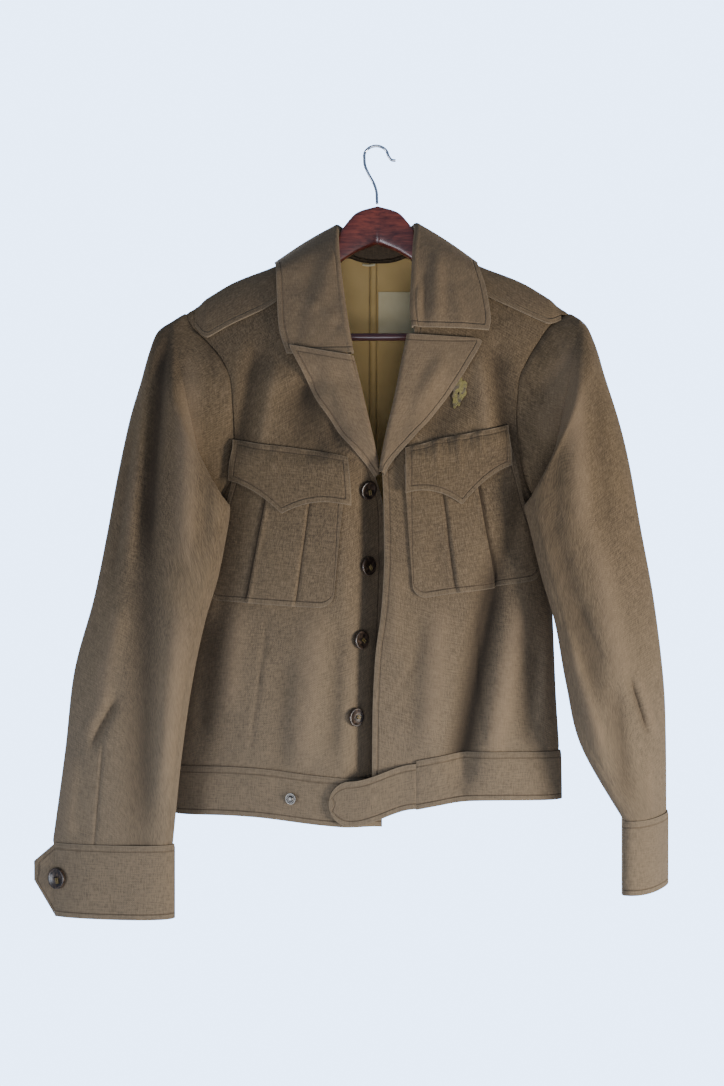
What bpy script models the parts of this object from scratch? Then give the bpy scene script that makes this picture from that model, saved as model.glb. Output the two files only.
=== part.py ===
"""A wool ike jacket on a wooden hanger, at its real size in metres.

The wearer faces -Y, so the wearer's right is at -X. +Z is up, and the origin is the inside
of the hook's bend, where the hanger hangs. Every cloth piece is a grid of points on the
garment's form, given its thickness outwards by Solidify.
"""

import math
from bisect import bisect_right
from collections import namedtuple

import bmesh
import bpy
import numpy as np
from mathutils import Matrix, Vector

# Cloth walls and gaps.
CLOTH = 0.0016
DOUBLE_CLOTH = 0.0022
BAND_CLOTH = 0.0026
POCKET_CLOTH = 0.0014
LINING_CLOTH = 0.0010
SEAM = 0.0004
LAY_GAP = 0.0010
FIRST_LAYER = CLOTH + LAY_GAP

# Body: the half widths and depths of the closed section at each height.
Section = namedtuple("Section", "z right left front back side")
BODY = (
    Section(-0.740, 0.2185, 0.1975, -0.0730, 0.0220, -0.022),
    Section(-0.670, 0.2155, 0.1965, -0.0740, 0.0240, -0.022),
    Section(-0.600, 0.2080, 0.1925, -0.0780, 0.0290, -0.022),
    Section(-0.500, 0.1970, 0.1880, -0.0840, 0.0340, -0.022),
    Section(-0.400, 0.1880, 0.1820, -0.0870, 0.0360, -0.022),
    Section(-0.300, 0.2120, 0.2080, -0.0840, 0.0360, -0.022),
    Section(-0.200, 0.2350, 0.2350, -0.0700, 0.0300, -0.020),
    Section(-0.080, 0.2400, 0.2400, -0.0500, 0.0200, -0.010),
)
SECTION_POWER = 2.2
SHOULDER_ROUND = 0.13  # drop below the shoulder line at which a panel has its full depth

Shoulder = namedtuple("Shoulder", "x z")
SHOULDER_LINE = (
    Shoulder(0.000, -0.0800),
    Shoulder(0.050, -0.1025),
    Shoulder(0.106, -0.1350),
    Shoulder(0.155, -0.1560),
    Shoulder(0.190, -0.1780),
    Shoulder(0.207, -0.1880),
)
SHOULDER_SWEEP = 0.032  # how far the hanger's tips stand forward of its middle
SWEEP_POWER = 1.6
SHOULDER_REACH = 0.207
NECK_HALF = 0.050
BACK_NECK_Z = -0.122
BACK_NECK_Y = 0.020
BACK_NECK_POWER = 2.5

Armhole = namedtuple("Armhole", "z right_front left_front right_back left_back")
ARMHOLE = (
    Armhole(-0.400, 0.1880, 0.1820, 0.1880, 0.1820),
    Armhole(-0.390, 0.1700, 0.1680, 0.1820, 0.1760),
    Armhole(-0.370, 0.1570, 0.1570, 0.1750, 0.1690),
    Armhole(-0.340, 0.1525, 0.1505, 0.1710, 0.1660),
    Armhole(-0.300, 0.1535, 0.1475, 0.1720, 0.1680),
    Armhole(-0.262, 0.1565, 0.1500, 0.1770, 0.1730),
    Armhole(-0.240, 0.1654, 0.1590, 0.1830, 0.1790),
    Armhole(-0.219, 0.1823, 0.1720, 0.1900, 0.1870),
    Armhole(-0.200, 0.2010, 0.1860, 0.1990, 0.1970),
    Armhole(-0.188, 0.2065, 0.2060, 0.2065, 0.2060),
)
ARMPIT_Z = -0.400

# Inner edges of the fronts: the roll of the lapel above, the front edge below.
Edge = namedtuple("Edge", "z x")
RIGHT_ROLL = (
    Edge(-0.358, 0.0000),
    Edge(-0.326, -0.0064),
    Edge(-0.283, -0.0171),
    Edge(-0.196, -0.0353),
    Edge(-0.139, -0.0431),
    Edge(-0.092, -0.0467),
)
LEFT_ROLL = (
    Edge(-0.358, 0.0040),
    Edge(-0.315, 0.0127),
    Edge(-0.261, 0.0235),
    Edge(-0.1855, 0.0362),
    Edge(-0.139, 0.0388),
    Edge(-0.088, 0.0413),
)
ROLL_END_Z = -0.358
RIGHT_EDGE = (
    Edge(-0.690, 0.0040),
    Edge(-0.560, 0.0080),
    Edge(-0.450, 0.0120),
    Edge(-0.400, 0.0110),
    Edge(-0.358, 0.0000),
)
LEFT_EDGE = (
    Edge(-0.690, -0.0065),
    Edge(-0.620, -0.0060),
    Edge(-0.559, -0.0033),
    Edge(-0.500, 0.0040),
    Edge(-0.450, 0.0064),
    Edge(-0.390, 0.0055),
    Edge(-0.358, 0.0040),
)
ROLL_COVER = 0.005  # how far a lapel or the collar reaches past the panel's own edge
NECK_COVER = 0.005  # the same more at the neck point, above the hanger's arms

# Waist seam, where the panels meet the waistband.
Waist = namedtuple("Waist", "x z")
RIGHT_WAIST = (
    Waist(-0.2185, -0.6755),
    Waist(-0.1640, -0.6740),
    Waist(-0.1340, -0.6750),
    Waist(-0.0600, -0.6830),
    Waist(0.0120, -0.6890),
)
LEFT_WAIST = (
    Waist(-0.0070, -0.6800),
    Waist(0.0370, -0.6670),
    Waist(0.1100, -0.6575),
    Waist(0.1975, -0.6600),
)
BACK_WAIST = (
    Waist(-0.2185, -0.6755),
    Waist(0.0000, -0.6700),
    Waist(0.1975, -0.6600),
)

# The right front falls back behind the left one.
SINK = 0.030
SINK_FROM_X = -0.040
SINK_TO_X = 0.005
SINK_FROM_Z = -0.320
SINK_TO_Z = -0.400

# Folds and darts: a ridge (height > 0) or trough along a line of a panel.
Fold = namedtuple("Fold", "x0 z0 x1 z1 height width")
RIGHT_FOLDS = (
    Fold(-0.125, -0.517, -0.135, -0.668, -0.0020, 0.006),
    Fold(-0.060, -0.540, -0.085, -0.660, 0.0030, 0.020),
    Fold(-0.150, -0.345, -0.120, -0.250, -0.0020, 0.014),
)
LEFT_FOLDS = (
    Fold(0.104, -0.505, 0.115, -0.650, -0.0020, 0.006),
    Fold(0.132, -0.500, 0.086, -0.655, -0.0060, 0.013),
    Fold(0.066, -0.500, 0.074, -0.600, -0.0030, 0.012),
    Fold(0.045, -0.510, 0.036, -0.650, 0.0040, 0.016),
    Fold(0.160, -0.560, 0.150, -0.650, 0.0030, 0.016),
)
BACK_FOLDS = (
    Fold(-0.090, -0.560, -0.086, -0.668, -0.0030, 0.007),
    Fold(0.086, -0.560, 0.082, -0.664, -0.0030, 0.007),
    Fold(-0.120, -0.330, -0.070, -0.560, 0.0040, 0.022),
    Fold(0.125, -0.360, 0.060, -0.580, 0.0040, 0.020),
    Fold(0.010, -0.300, -0.010, -0.620, -0.0025, 0.025),
)

RIGHT_SLEEVE_FOLDS = (
    Fold(-0.222, -0.215, -0.236, -0.400, -0.0050, 0.010),
    Fold(-0.200, -0.230, -0.190, -0.420, 0.0030, 0.014),
    Fold(-0.300, -0.640, -0.255, -0.560, -0.0030, 0.010),
    Fold(-0.280, -0.700, -0.240, -0.600, 0.0030, 0.014),
)
LEFT_SLEEVE_FOLDS = (
    Fold(0.200, -0.240, 0.215, -0.420, -0.0035, 0.010),
    Fold(0.180, -0.260, 0.190, -0.420, 0.0030, 0.014),
    Fold(0.205, -0.530, 0.245, -0.650, 0.0040, 0.012),
    Fold(0.262, -0.570, 0.284, -0.635, -0.0025, 0.007),
)

# Sleeves: each ring is given by its outer and inner ends in the front view and half its depth.
Ring = namedtuple("Ring", "out_x out_y out_z in_x in_y in_z deep")
RIGHT_SLEEVE = (
    Ring(0.2220, -0.030, -0.1965, 0.1800, -0.042, -0.3990, 0.044),
    Ring(0.2368, -0.032, -0.2085, 0.1710, -0.057, -0.3970, 0.046),
    Ring(0.2450, -0.034, -0.2320, 0.1630, -0.070, -0.3950, 0.044),
    Ring(0.2530, -0.036, -0.2640, 0.1590, -0.079, -0.3960, 0.041),
    Ring(0.2642, -0.038, -0.3043, 0.1590, -0.085, -0.4070, 0.038),
    Ring(0.2767, -0.042, -0.3667, 0.1630, -0.089, -0.4320, 0.035),
    Ring(0.2875, -0.046, -0.4267, 0.1710, -0.090, -0.4720, 0.032),
    Ring(0.3014, -0.050, -0.4956, 0.1850, -0.090, -0.5200, 0.030),
    Ring(0.3223, -0.052, -0.5719, 0.1985, -0.088, -0.5850, 0.029),
    Ring(0.3325, -0.054, -0.6567, 0.2100, -0.084, -0.6650, 0.026),
    Ring(0.3460, -0.056, -0.7530, 0.2190, -0.080, -0.7530, 0.021),
)
LEFT_SLEEVE = (
    Ring(0.2180, -0.029, -0.1940, 0.1765, -0.044, -0.4030, 0.034),
    Ring(0.2260, -0.030, -0.2040, 0.1690, -0.060, -0.4040, 0.040),
    Ring(0.2345, -0.032, -0.2280, 0.1620, -0.072, -0.3950, 0.044),
    Ring(0.2420, -0.034, -0.2560, 0.1570, -0.079, -0.3960, 0.041),
    Ring(0.2571, -0.038, -0.3083, 0.1590, -0.085, -0.4070, 0.038),
    Ring(0.2678, -0.040, -0.3560, 0.1650, -0.088, -0.4320, 0.035),
    Ring(0.2790, -0.042, -0.4213, 0.1750, -0.088, -0.4720, 0.032),
    Ring(0.2925, -0.042, -0.4959, 0.1890, -0.087, -0.5200, 0.030),
    Ring(0.3035, -0.038, -0.5811, 0.2010, -0.085, -0.5850, 0.028),
    Ring(0.3070, -0.022, -0.6450, 0.2170, -0.088, -0.6500, 0.025),
    Ring(0.3080, 0.012, -0.7270, 0.2620, -0.094, -0.7270, 0.019),
)
SLEEVE_POWER = 0.85  # under 1 squares the ring's ends off
INNER_FLAT = 0.60  # how much of its depth the sleeve loses where it lies on the body
SLEEVE_RINGS = 17
RING_CROWD = 1.1
ARMHOLE_SHARE = 0.05  # the share of a sleeve between the armhole and its first ring
TOP_SLEEVE_FROM = -1.95  # angles from the outer end, forwards positive
TOP_SLEEVE_TO = 2.85
SLEEVE_GAP = 0.035
SEAM_RISE = 0.55  # the front seam climbs this much further round where it meets the armhole
SEAM_RISE_RINGS = 8
REAR_EASE = 0.20  # the rear seam opens this much wider at the armpit, where the sleeve bends
REAR_EASE_RING = 4.5
REAR_EASE_SPAN = 2.5
TOP_COLUMNS = 12
UNDER_COLUMNS = 6
SLEEVE_STAND = 0.0036  # how far the sleeve's lower half stands off the armhole
ARMHOLE_CLEAR = 5 * SEAM
ARMHOLE_LOWER = 4 * SEAM

# Cuffs.
CUFF_HEIGHT = 0.078
CUFF_OUT = 0.0016
CUFF_FRONT_FROM = 0.50
CUFF_BACK_TO = 5.95
CUFF_TAB = 0.024
CUFF_TIP_SHARE = 0.36
CUFF_COLUMNS = 18
CUFF_TAB_COLUMNS = 4
CUFF_LEVELS = (0.0, CUFF_TIP_SHARE, 1.0)
CUFF_TIP_BLUNT = 0.86  # 1 would bring the tab to a sharp point
CUFF_DROP = 3 * SEAM
CUFF_BUTTON_RADIUS = 0.0113

# Waistband and its tab.
BAND_HEIGHT = 0.052
BAND_LIFT = 0.0010
TAB_LEFT = -0.0520
TAB_RIGHT = 0.0400
TAB_TOP_LEFT = -0.6880
TAB_TOP_RIGHT = -0.6700
TAB_HEIGHT = 0.0480
TAB_ROUND = 0.0230
TAB_END = 0.24  # the share of its height left at the round end
TAB_ROWS = 5
TAB_COLUMNS = 12
TAB_CROWD = 1.4
TAB_PROUD = BAND_CLOTH + LAY_GAP * 2  # how far it stands off the right band it overlaps
BAND_LEVELS = (0.0, 0.5, 1.0)
BAND_END = 0.30  # past either side seam
RIGHT_BAND_TO = 0.004

# Pockets: corners as they lie on the fronts.
Corner = namedtuple("Corner", "x z")
Pocket = namedtuple("Pocket", "top_in top_out low_in low_out pleats")
RIGHT_POCKET = Pocket(Corner(-0.0345, -0.3620), Corner(-0.1490, -0.3460),
                      Corner(-0.0480, -0.5050), Corner(-0.1850, -0.4960), (0.30, 0.66))
LEFT_POCKET = Pocket(Corner(0.0270, -0.3520), Corner(0.1400, -0.3270),
                     Corner(0.0370, -0.4950), Corner(0.1760, -0.4740), (0.34, 0.62))
POCKET_ROUND = 0.016
POCKET_ROWS = 5
PLEAT_RISE = 0.0016
PLEAT_SPREAD = 0.02  # the box pleat widens by this share towards its foot
Flap = namedtuple("Flap", "in_x in_z out_x out_z in_height out_height point_at point")
RIGHT_FLAP = Flap(-0.0325, -0.3445, -0.1560, -0.3245, 0.0510, 0.0430, 0.55, 0.024)
LEFT_FLAP = Flap(0.0285, -0.3347, 0.1395, -0.3090, 0.0480, 0.0430, 0.53, 0.028)
FLAP_CUSP = 0.5
FLAP_ROWS = 4
FLAP_COLUMNS = 14
FLAP_CLEAR = 0.0006

# Lapels: rows from the gorge down to the roll's end.
LapelRow = namedtuple("LapelRow", "roll_x roll_z edge_x edge_z")
RIGHT_LAPEL = (
    LapelRow(-0.0275, -0.2375, -0.0930, -0.2270),
    LapelRow(-0.0268, -0.2410, -0.0905, -0.2340),
    LapelRow(-0.0230, -0.2560, -0.0780, -0.2560),
    LapelRow(-0.0160, -0.2860, -0.0600, -0.2890),
    LapelRow(-0.0090, -0.3160, -0.0370, -0.3225),
    LapelRow(-0.0025, -0.3440, -0.0150, -0.3500),
    LapelRow(0.0000, -0.3600, -0.0045, -0.3640),
)
LEFT_LAPEL = (
    LapelRow(0.0325, -0.2140, 0.1040, -0.2180),
    LapelRow(0.0310, -0.2210, 0.1090, -0.2235),
    LapelRow(0.0255, -0.2480, 0.0930, -0.2520),
    LapelRow(0.0185, -0.2830, 0.0690, -0.2850),
    LapelRow(0.0110, -0.3140, 0.0420, -0.3180),
    LapelRow(0.0050, -0.3450, 0.0150, -0.3490),
    LapelRow(0.0030, -0.3600, 0.0070, -0.3640),
)
LAPEL_TURN = 0.0004  # how far the roll's underside is tucked in
LAPEL_UNDER = 0.0008
RIGHT_LAPEL_RISE = 0.0054  # the right lapel lies on the collar's end
LAPEL_STEPS = 2
LAPEL_COLUMNS = 5

# Collar: rows from the right front end, round the back, to the left front end. A front row
# starts at a height on the panel's inner edge, a back row at a place along the back neck.
# Drops are below the shoulder line, negative behind it; lift is how far the fall stands off.
CollarRow = namedtuple("CollarRow", "at fold_x fold_y fold_z edge_x edge_drop lift")
COLLAR = (
    CollarRow(-0.2350, -0.0285, None, -0.2340, -0.0960, 0.1060, 0.0008),
    CollarRow(-0.2000, -0.0345, None, -0.1980, -0.1040, 0.0760, 0.0014),
    CollarRow(-0.1600, -0.0405, None, -0.1540, -0.1050, 0.0420, 0.0066),
    CollarRow(-0.1250, -0.0440, None, -0.1170, -0.1065, 0.0120, 0.0105),
    CollarRow(-0.0500, -0.0450, -0.003, -0.0885, -0.1040, -0.0030, 0.0100),
    CollarRow(-0.0400, -0.0385, 0.016, -0.0880, -0.0760, -0.0230, 0.0070),
    CollarRow(-0.0210, -0.0200, 0.026, -0.0870, -0.0380, -0.0330, 0.0070),
    CollarRow(0.0000, 0.0000, 0.029, -0.0865, 0.0010, -0.0290, 0.0070),
    CollarRow(0.0210, 0.0200, 0.026, -0.0865, 0.0380, -0.0330, 0.0070),
    CollarRow(0.0400, 0.0370, 0.016, -0.0870, 0.0760, -0.0230, 0.0070),
    CollarRow(0.0500, 0.0430, -0.003, -0.0865, 0.1010, -0.0030, 0.0080),
    CollarRow(-0.1250, 0.0405, None, -0.1150, 0.1055, 0.0080, 0.0070),
    CollarRow(-0.1600, 0.0385, None, -0.1520, 0.1120, 0.0290, 0.0065),
    CollarRow(-0.1850, 0.0365, None, -0.1830, 0.1175, 0.0590, 0.0060),
    CollarRow(-0.2060, 0.0400, None, -0.2060, 0.1150, 0.0740, 0.0060),
)
COLLAR_PROUD = 0.0045  # how far the fold stands in front of the panel's edge
COLLAR_STEPS = 2
COLLAR_FOLD_RADIUS = 0.0022
COLLAR_FALL_COLUMNS = 4
COLLAR_BULGE = 0.003
COLLAR_STAND_SHARE = 0.45  # the stand's middle, from the seam to the fold
COLLAR_TURNS = (-0.9, 0.0, 0.9)

# Shoulder straps: rows from the collar to the sleeve seam, with drops before and behind.
Strap = namedtuple("Strap", "x front back")
RIGHT_STRAP = (
    Strap(0.1015, 0.0400, -0.0080),
    Strap(0.125, 0.0440, -0.0080),
    Strap(0.150, 0.0450, -0.0090),
    Strap(0.180, 0.0430, -0.0080),
    Strap(0.197, 0.0200, -0.0050),
)
LEFT_STRAP = (
    Strap(0.099, 0.0300, -0.0090),
    Strap(0.125, 0.0320, -0.0090),
    Strap(0.150, 0.0330, -0.0100),
    Strap(0.180, 0.0280, -0.0090),
    Strap(0.198, 0.0120, -0.0050),
)
STRAP_ROWS = 8
STRAP_COLUMNS = 8

# Lining, label and hanging loop.
LINING_FOOT = -0.640
LINING_DROP = 0.036
LINING_ROWS = 10
LINING_COLUMNS = 13
LINING_IN = 0.0050
LINING_HALF_TOP = 0.120
LINING_HALF = 0.160
LINING_PLEAT_X = -0.0040
LINING_PLEAT_WIDE = 0.006
LINING_PLEAT_HIGH = 0.0016
LABEL = Corner(0.0010, -0.1560)
LABEL_WIDE = 0.040
LABEL_HIGH = 0.047
LABEL_STEPS = 4
LOOP_SPOT = Corner(-0.010, BACK_NECK_Z - 0.004)
LOOP_WIDE = 0.014
LOOP_STEPS = 6
LOOP_RADIUS = 0.0012
LOOP_SAG = 0.0015

# Fly strip under the left front's edge, and the worn scrap of embroidery on the left front.
FLY_TOP = -0.366
FLY_FOOT = -0.655
FLY_FROM = 0.0022
FLY_WIDE = 0.040
FLY_IN = 0.0020
FLY_ROWS = 14
FLY_COLUMNS = 3
SCRAP = (Corner(0.0935, -0.2560), Corner(0.0965, -0.2580),
         Corner(0.0745, -0.2830), Corner(0.0925, -0.2890))
SCRAP_STEPS = 3

# Buttons and press stud.
FRONT_BUTTONS = (Corner(-0.0125, -0.3785), Corner(-0.0128, -0.4598),
                 Corner(-0.0203, -0.5379), Corner(-0.0256, -0.6203))
BUTTON_RADIUS = 0.0100
BUTTON_THICK = 0.0034
BUTTON_SHANK = 0.0027  # the thread that a front button stands on
BUTTON_PROFILE = ((0.55, 0.70), (0.72, 1.0), (0.92, 0.85), (1.0, 0.45), (0.85, 0.0))
CUFF_BUTTON_RUN = 0.40  # its place round the cuff, in columns past the tab's root
CUFF_BUTTON_STEP = 0.10  # over this many columns its direction is taken
CUFF_BUTTON_DROP = 1.36  # its place down the cuff, by the tip's
STUD = Corner(-0.0905, -0.7070)
STUD_RADIUS = 0.0062
STUD_STAND = 0.0022
STUD_HIGH = 0.0026
STUD_PROFILE = ((0.45, 1.0), (0.60, 0.70), (1.0, 0.45), (1.0, 0.0))

# Hanger.
Arm = namedtuple("Arm", "x top foot thick")
HANGER_ARM = (
    Arm(0.000, -0.0645, -0.1068, 0.0130),
    Arm(0.022, -0.0720, -0.1160, 0.0130),
    Arm(0.036, -0.0870, -0.1245, 0.0120),
    Arm(0.042, -0.0960, -0.1285, 0.0115),
    Arm(0.047, -0.1075, -0.1320, 0.0110),
    Arm(0.053, -0.1100, -0.1360, 0.0110),
    Arm(0.070, -0.1215, -0.1470, 0.0120),
    Arm(0.106, -0.1420, -0.1680, 0.0120),
    Arm(0.155, -0.1630, -0.2020, 0.0120),
    Arm(0.182, -0.1800, -0.2240, 0.0120),
    Arm(0.196, -0.1890, -0.2220, 0.0110),
)
ARM_STEPS = 18
ARM_SIDES = 10
ARM_SQUARE = (0.5, 0.7)  # powers that square the arms' section off, in depth and height
ARM_FORWARD = 0.002
BAR_Z = -0.2112
BAR_RADIUS = 0.0042
BAR_HALF = 0.180
BAR_CLEAR = 0.0004
SOCKET_DEEPER = 0.001
HOOK_RADIUS = 0.0016
HOOK_BEND = 0.0115
HOOK_SHANK = ((-0.0005, -0.0625), (-0.0010, -0.0500), (-0.0040, -0.0400),
              (-0.0110, -0.0280), (-0.0140, -0.0180))
HOOK_TIP = ((0.0150, -0.0135), (0.0200, -0.0145))
HOOK_WIDEN = 1.15
HOOK_MIDDLE_X = -0.0015
HOOK_FROM, HOOK_TO = 190, 5  # degrees round the bend
HOOK_STEPS = 6

# Grids of the panels.
PANEL_ROWS = 16
ROW_CROWD = 1.5  # rows crowd towards the shoulder
FRONT_COLUMNS = 13
BACK_COLUMNS = 16
SIDE_CROWD_FROM = -0.34  # below the armpit, columns crowd towards the side seam
SIDE_CROWD_TO = -0.44
SIDE_SEAM_MIN_X = 0.1
ROUND_SIDES = 14  # of buttons and rods
TURNED_MERGE = 0.00001

COLOURS = {
    "cloth": (0.125, 0.088, 0.060, 1.0),
    "lining": (0.240, 0.145, 0.055, 1.0),
    "label": (0.520, 0.430, 0.300, 1.0),
    "wood": (0.060, 0.016, 0.014, 1.0),
    "chrome": (0.700, 0.700, 0.720, 1.0),
    "button": (0.060, 0.040, 0.030, 1.0),
    "emblem": (0.140, 0.120, 0.040, 1.0),
}
ROUGHNESS = {"cloth": 0.9, "lining": 0.7, "label": 0.8, "wood": 0.35, "chrome": 0.12,
             "button": 0.35, "emblem": 0.8}


def clear_scene():
    for obj in list(bpy.data.objects):
        bpy.data.objects.remove(obj, do_unlink=True)


def material(kind):
    """The Principled material of one kind of stuff, made once."""
    if kind in bpy.data.materials:
        return bpy.data.materials[kind]
    made = bpy.data.materials.new(kind)
    made.use_nodes = True
    shader = made.node_tree.nodes["Principled BSDF"]
    shader.inputs["Base Color"].default_value = COLOURS[kind]
    shader.inputs["Roughness"].default_value = ROUGHNESS[kind]
    shader.inputs["Metallic"].default_value = 1.0 if kind == "chrome" else 0.0
    return made


def smooth(rows, key, column):
    """A function of the key column that runs smoothly through another column."""
    rows = sorted(rows, key=lambda row: getattr(row, key))
    at = [getattr(row, key) for row in rows]
    to = [getattr(row, column) for row in rows]
    rise = [(b - a) / (q - p) for a, b, p, q in zip(to, to[1:], at, at[1:])]
    inner = [0.0 if a * b <= 0 else 2 * a * b / (a + b) for a, b in zip(rise, rise[1:])]
    slope = [rise[0], *inner, rise[-1]]

    def curve(x):
        x = min(max(x, at[0]), at[-1])
        i = min(bisect_right(at, x) - 1, len(at) - 2)
        step = at[i + 1] - at[i]
        t = (x - at[i]) / step
        start = to[i] * (1 + 2 * t) + slope[i] * step * t
        end = to[i + 1] * (3 - 2 * t) + slope[i + 1] * step * (t - 1)
        return start * (1 - t) ** 2 + end * t * t

    return curve


def step_between(low, high, x):
    """0 below low, 1 above high, an S between; low may be the larger number."""
    t = min(max((x - low) / (high - low), 0.0), 1.0)
    return t * t * (3 - 2 * t)


def lerp(a, b, t):
    return a + (b - a) * t


right_width = smooth(BODY, "z", "right")
left_width = smooth(BODY, "z", "left")
front_depth = smooth(BODY, "z", "front")
back_depth = smooth(BODY, "z", "back")
side_depth = smooth(BODY, "z", "side")
shoulder_z = smooth(SHOULDER_LINE, "x", "z")
armhole_x = {name: smooth(ARMHOLE, "z", name) for name in Armhole._fields[1:]}
right_waist = smooth(RIGHT_WAIST, "x", "z")
left_waist = smooth(LEFT_WAIST, "x", "z")
back_waist = smooth(BACK_WAIST, "x", "z")
right_roll = smooth(RIGHT_ROLL, "z", "x")
left_roll = smooth(LEFT_ROLL, "z", "x")
right_edge = smooth(RIGHT_EDGE, "z", "x")
left_edge = smooth(LEFT_EDGE, "z", "x")


def side_x(z, right):
    """Where the side seam runs, or would run above the armpit."""
    return -right_width(z) if right else left_width(z)


def shoulder_y(x):
    return -SHOULDER_SWEEP * (min(abs(x), SHOULDER_REACH) / SHOULDER_REACH) ** SWEEP_POWER


def panel_top(x, back):
    """(y, z) of the shoulder line, or of the back neck between the neck points."""
    if back and abs(x) < NECK_HALF:
        t = abs(x) / NECK_HALF
        z = lerp(BACK_NECK_Z, shoulder_z(NECK_HALF), t ** BACK_NECK_POWER)
        return lerp(shoulder_y(NECK_HALF), BACK_NECK_Y, math.sqrt(1 - t * t)), z
    return shoulder_y(x), shoulder_z(abs(x))


def fold_height(folds, x, z):
    """The sum of the folds' heights at a place, each fading out towards its ends."""
    total = 0.0
    for fold in folds:
        along = np.array([fold.x1 - fold.x0, fold.z1 - fold.z0])
        length = np.linalg.norm(along)
        along /= length
        offset = np.array([x - fold.x0, z - fold.z0])
        run = float(offset @ along) / length
        across = float(offset[0] * along[1] - offset[1] * along[0])
        ends = step_between(-0.15, 0.2, run) * step_between(1.15, 0.8, run)
        total += fold.height * ends * math.exp(-((across / fold.width) ** 2))
    return total


def body_point(panel, x, root):
    """A point of a panel's inner face. root is the signed square root of the drop below
    the shoulder line: positive in front, negative behind."""
    back = root < 0
    top_y, top_z = panel_top(x, back)
    drop = root * root
    z = top_z - drop
    width = right_width(z) if x < 0 else left_width(z)
    across = max(1 - (abs(x) / width) ** SECTION_POWER, 0.0) ** (1 / SECTION_POWER)
    depth = back_depth(z) if back else front_depth(z)
    y = lerp(side_depth(z), depth, across)
    if panel == "front_right":
        sunk = step_between(SINK_FROM_X, SINK_TO_X, x) * step_between(SINK_FROM_Z, SINK_TO_Z, z)
        y += SINK * sunk
    over = min(drop / SHOULDER_ROUND, 1.0)
    y = lerp(top_y, y, math.sqrt(1 - (1 - over) ** 2))
    folds = {"front_right": RIGHT_FOLDS, "front_left": LEFT_FOLDS, "back": BACK_FOLDS}[panel]
    out = fold_height(folds, x, z)
    return np.array([x, y + out if back else y - out, z])


def laid(panel, x, z, lift):
    """A point moved out from a panel by lift; z is where it lies on the panel."""
    _, top_z = panel_top(x, panel == "back")
    root = math.sqrt(max(top_z - z, 0.0)) * (-1 if panel == "back" else 1)
    return laid_over(panel, x, root, lift)


def laid_over(panel, x, root, lift):
    small = 0.0004
    across = body_point(panel, x + small, root) - body_point(panel, x - small, root)
    down = body_point(panel, x, root + small) - body_point(panel, x, root - small)
    normal = -np.cross(across, down)
    return body_point(panel, x, root) + normal / np.linalg.norm(normal) * lift


def mesh_object(name, kind, points, faces):
    mesh = bpy.data.meshes.new(name)
    mesh.from_pydata([tuple(map(float, p)) for p in points], [], faces)
    mesh.validate()
    mesh.update()
    mesh.shade_smooth()
    mesh.materials.append(material(kind))
    obj = bpy.data.objects.new(name, mesh)
    parts.objects.link(obj)
    return obj


def sheet(name, kind, rows, thickness, outward):
    """Cloth from a grid of points: rows of equal length. outward is a vector on the side
    that gains the thickness, at the grid's middle."""
    count = len(rows[0])
    points = [point for row in rows for point in row]
    faces = []
    for i in range(len(rows) - 1):
        for j in range(count - 1):
            a = i * count + j
            faces.append((a, a + 1, a + count + 1, a + count))
    i, j = len(rows) // 2, count // 2
    normal = np.cross(rows[i][j] - rows[i][j - 1], rows[i][j] - rows[i - 1][j])
    if float(normal @ np.array(outward, float)) < 0:
        faces = [face[::-1] for face in faces]
    obj = mesh_object(name, kind, points, faces)
    wall = obj.modifiers.new("wall", "SOLIDIFY")
    wall.thickness = thickness
    wall.offset = 1.0
    wall.use_quality_normals = True
    return obj


def solve_edge(edge, top, foot, fraction):
    """x on an edge given as a function of height, at a fraction of the panel's drop."""
    x = edge(-0.3)
    for _ in range(40):
        x = edge(lerp(top(x), foot(x), fraction))
    return x


def panel_rows(panel, inner, outer, foot, columns, crowd_inner=False):
    """The grid of a panel: rows at even fractions of the drop from shoulder to waist."""
    back = panel == "back"

    def top(x):
        return panel_top(x, back)[1]

    rows = []
    for i in range(PANEL_ROWS + 1):
        fraction = (i / PANEL_ROWS) ** ROW_CROWD
        start = solve_edge(inner, top, foot, fraction)
        end = solve_edge(outer, top, foot, fraction)
        row = []
        for j in range(columns + 1):
            u = j / columns
            level = lerp(top(lerp(start, end, u)), foot(lerp(start, end, u)), fraction)
            low = step_between(SIDE_CROWD_FROM, SIDE_CROWD_TO, level)
            round_off = math.sin(u * math.pi / 2)
            if crowd_inner:
                round_off = (1 - math.cos(u * math.pi)) / 2
            x = lerp(start, end, lerp(u, round_off, low))
            drop = (top(x) - foot(x)) * fraction
            root = max(math.sqrt(max(drop, 0.0)), 0.001)
            point = body_point(panel, x, -root if back else root)
            side = side_depth(point[2])
            if low > 0 and back:
                point[1] = max(point[1], side + SEAM / 2)
            elif low > 0 and j in (0, columns) and abs(x) > SIDE_SEAM_MIN_X:
                point[1] = min(point[1], side - SEAM / 2)
            row.append(point)
        rows.append(row)
    return rows


def right_outer(z):
    return -armhole_x["right_front"](z) if z > ARMPIT_Z else side_x(z, True)


def left_outer(z):
    return armhole_x["left_front"](z) if z > ARMPIT_Z else side_x(z, False)


def back_right_outer(z):
    return -armhole_x["right_back"](z) if z > ARMPIT_Z else side_x(z, True)


def back_left_outer(z):
    return armhole_x["left_back"](z) if z > ARMPIT_Z else side_x(z, False)


def roll_cover(z):
    return ROLL_COVER + NECK_COVER * step_between(-0.130, -0.102, z)


def right_inner(z):
    return right_roll(z) - roll_cover(z) if z > ROLL_END_Z else right_edge(z) - ROLL_COVER


def left_inner(z):
    return left_roll(z) + roll_cover(z) if z > ROLL_END_Z else left_edge(z)


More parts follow.
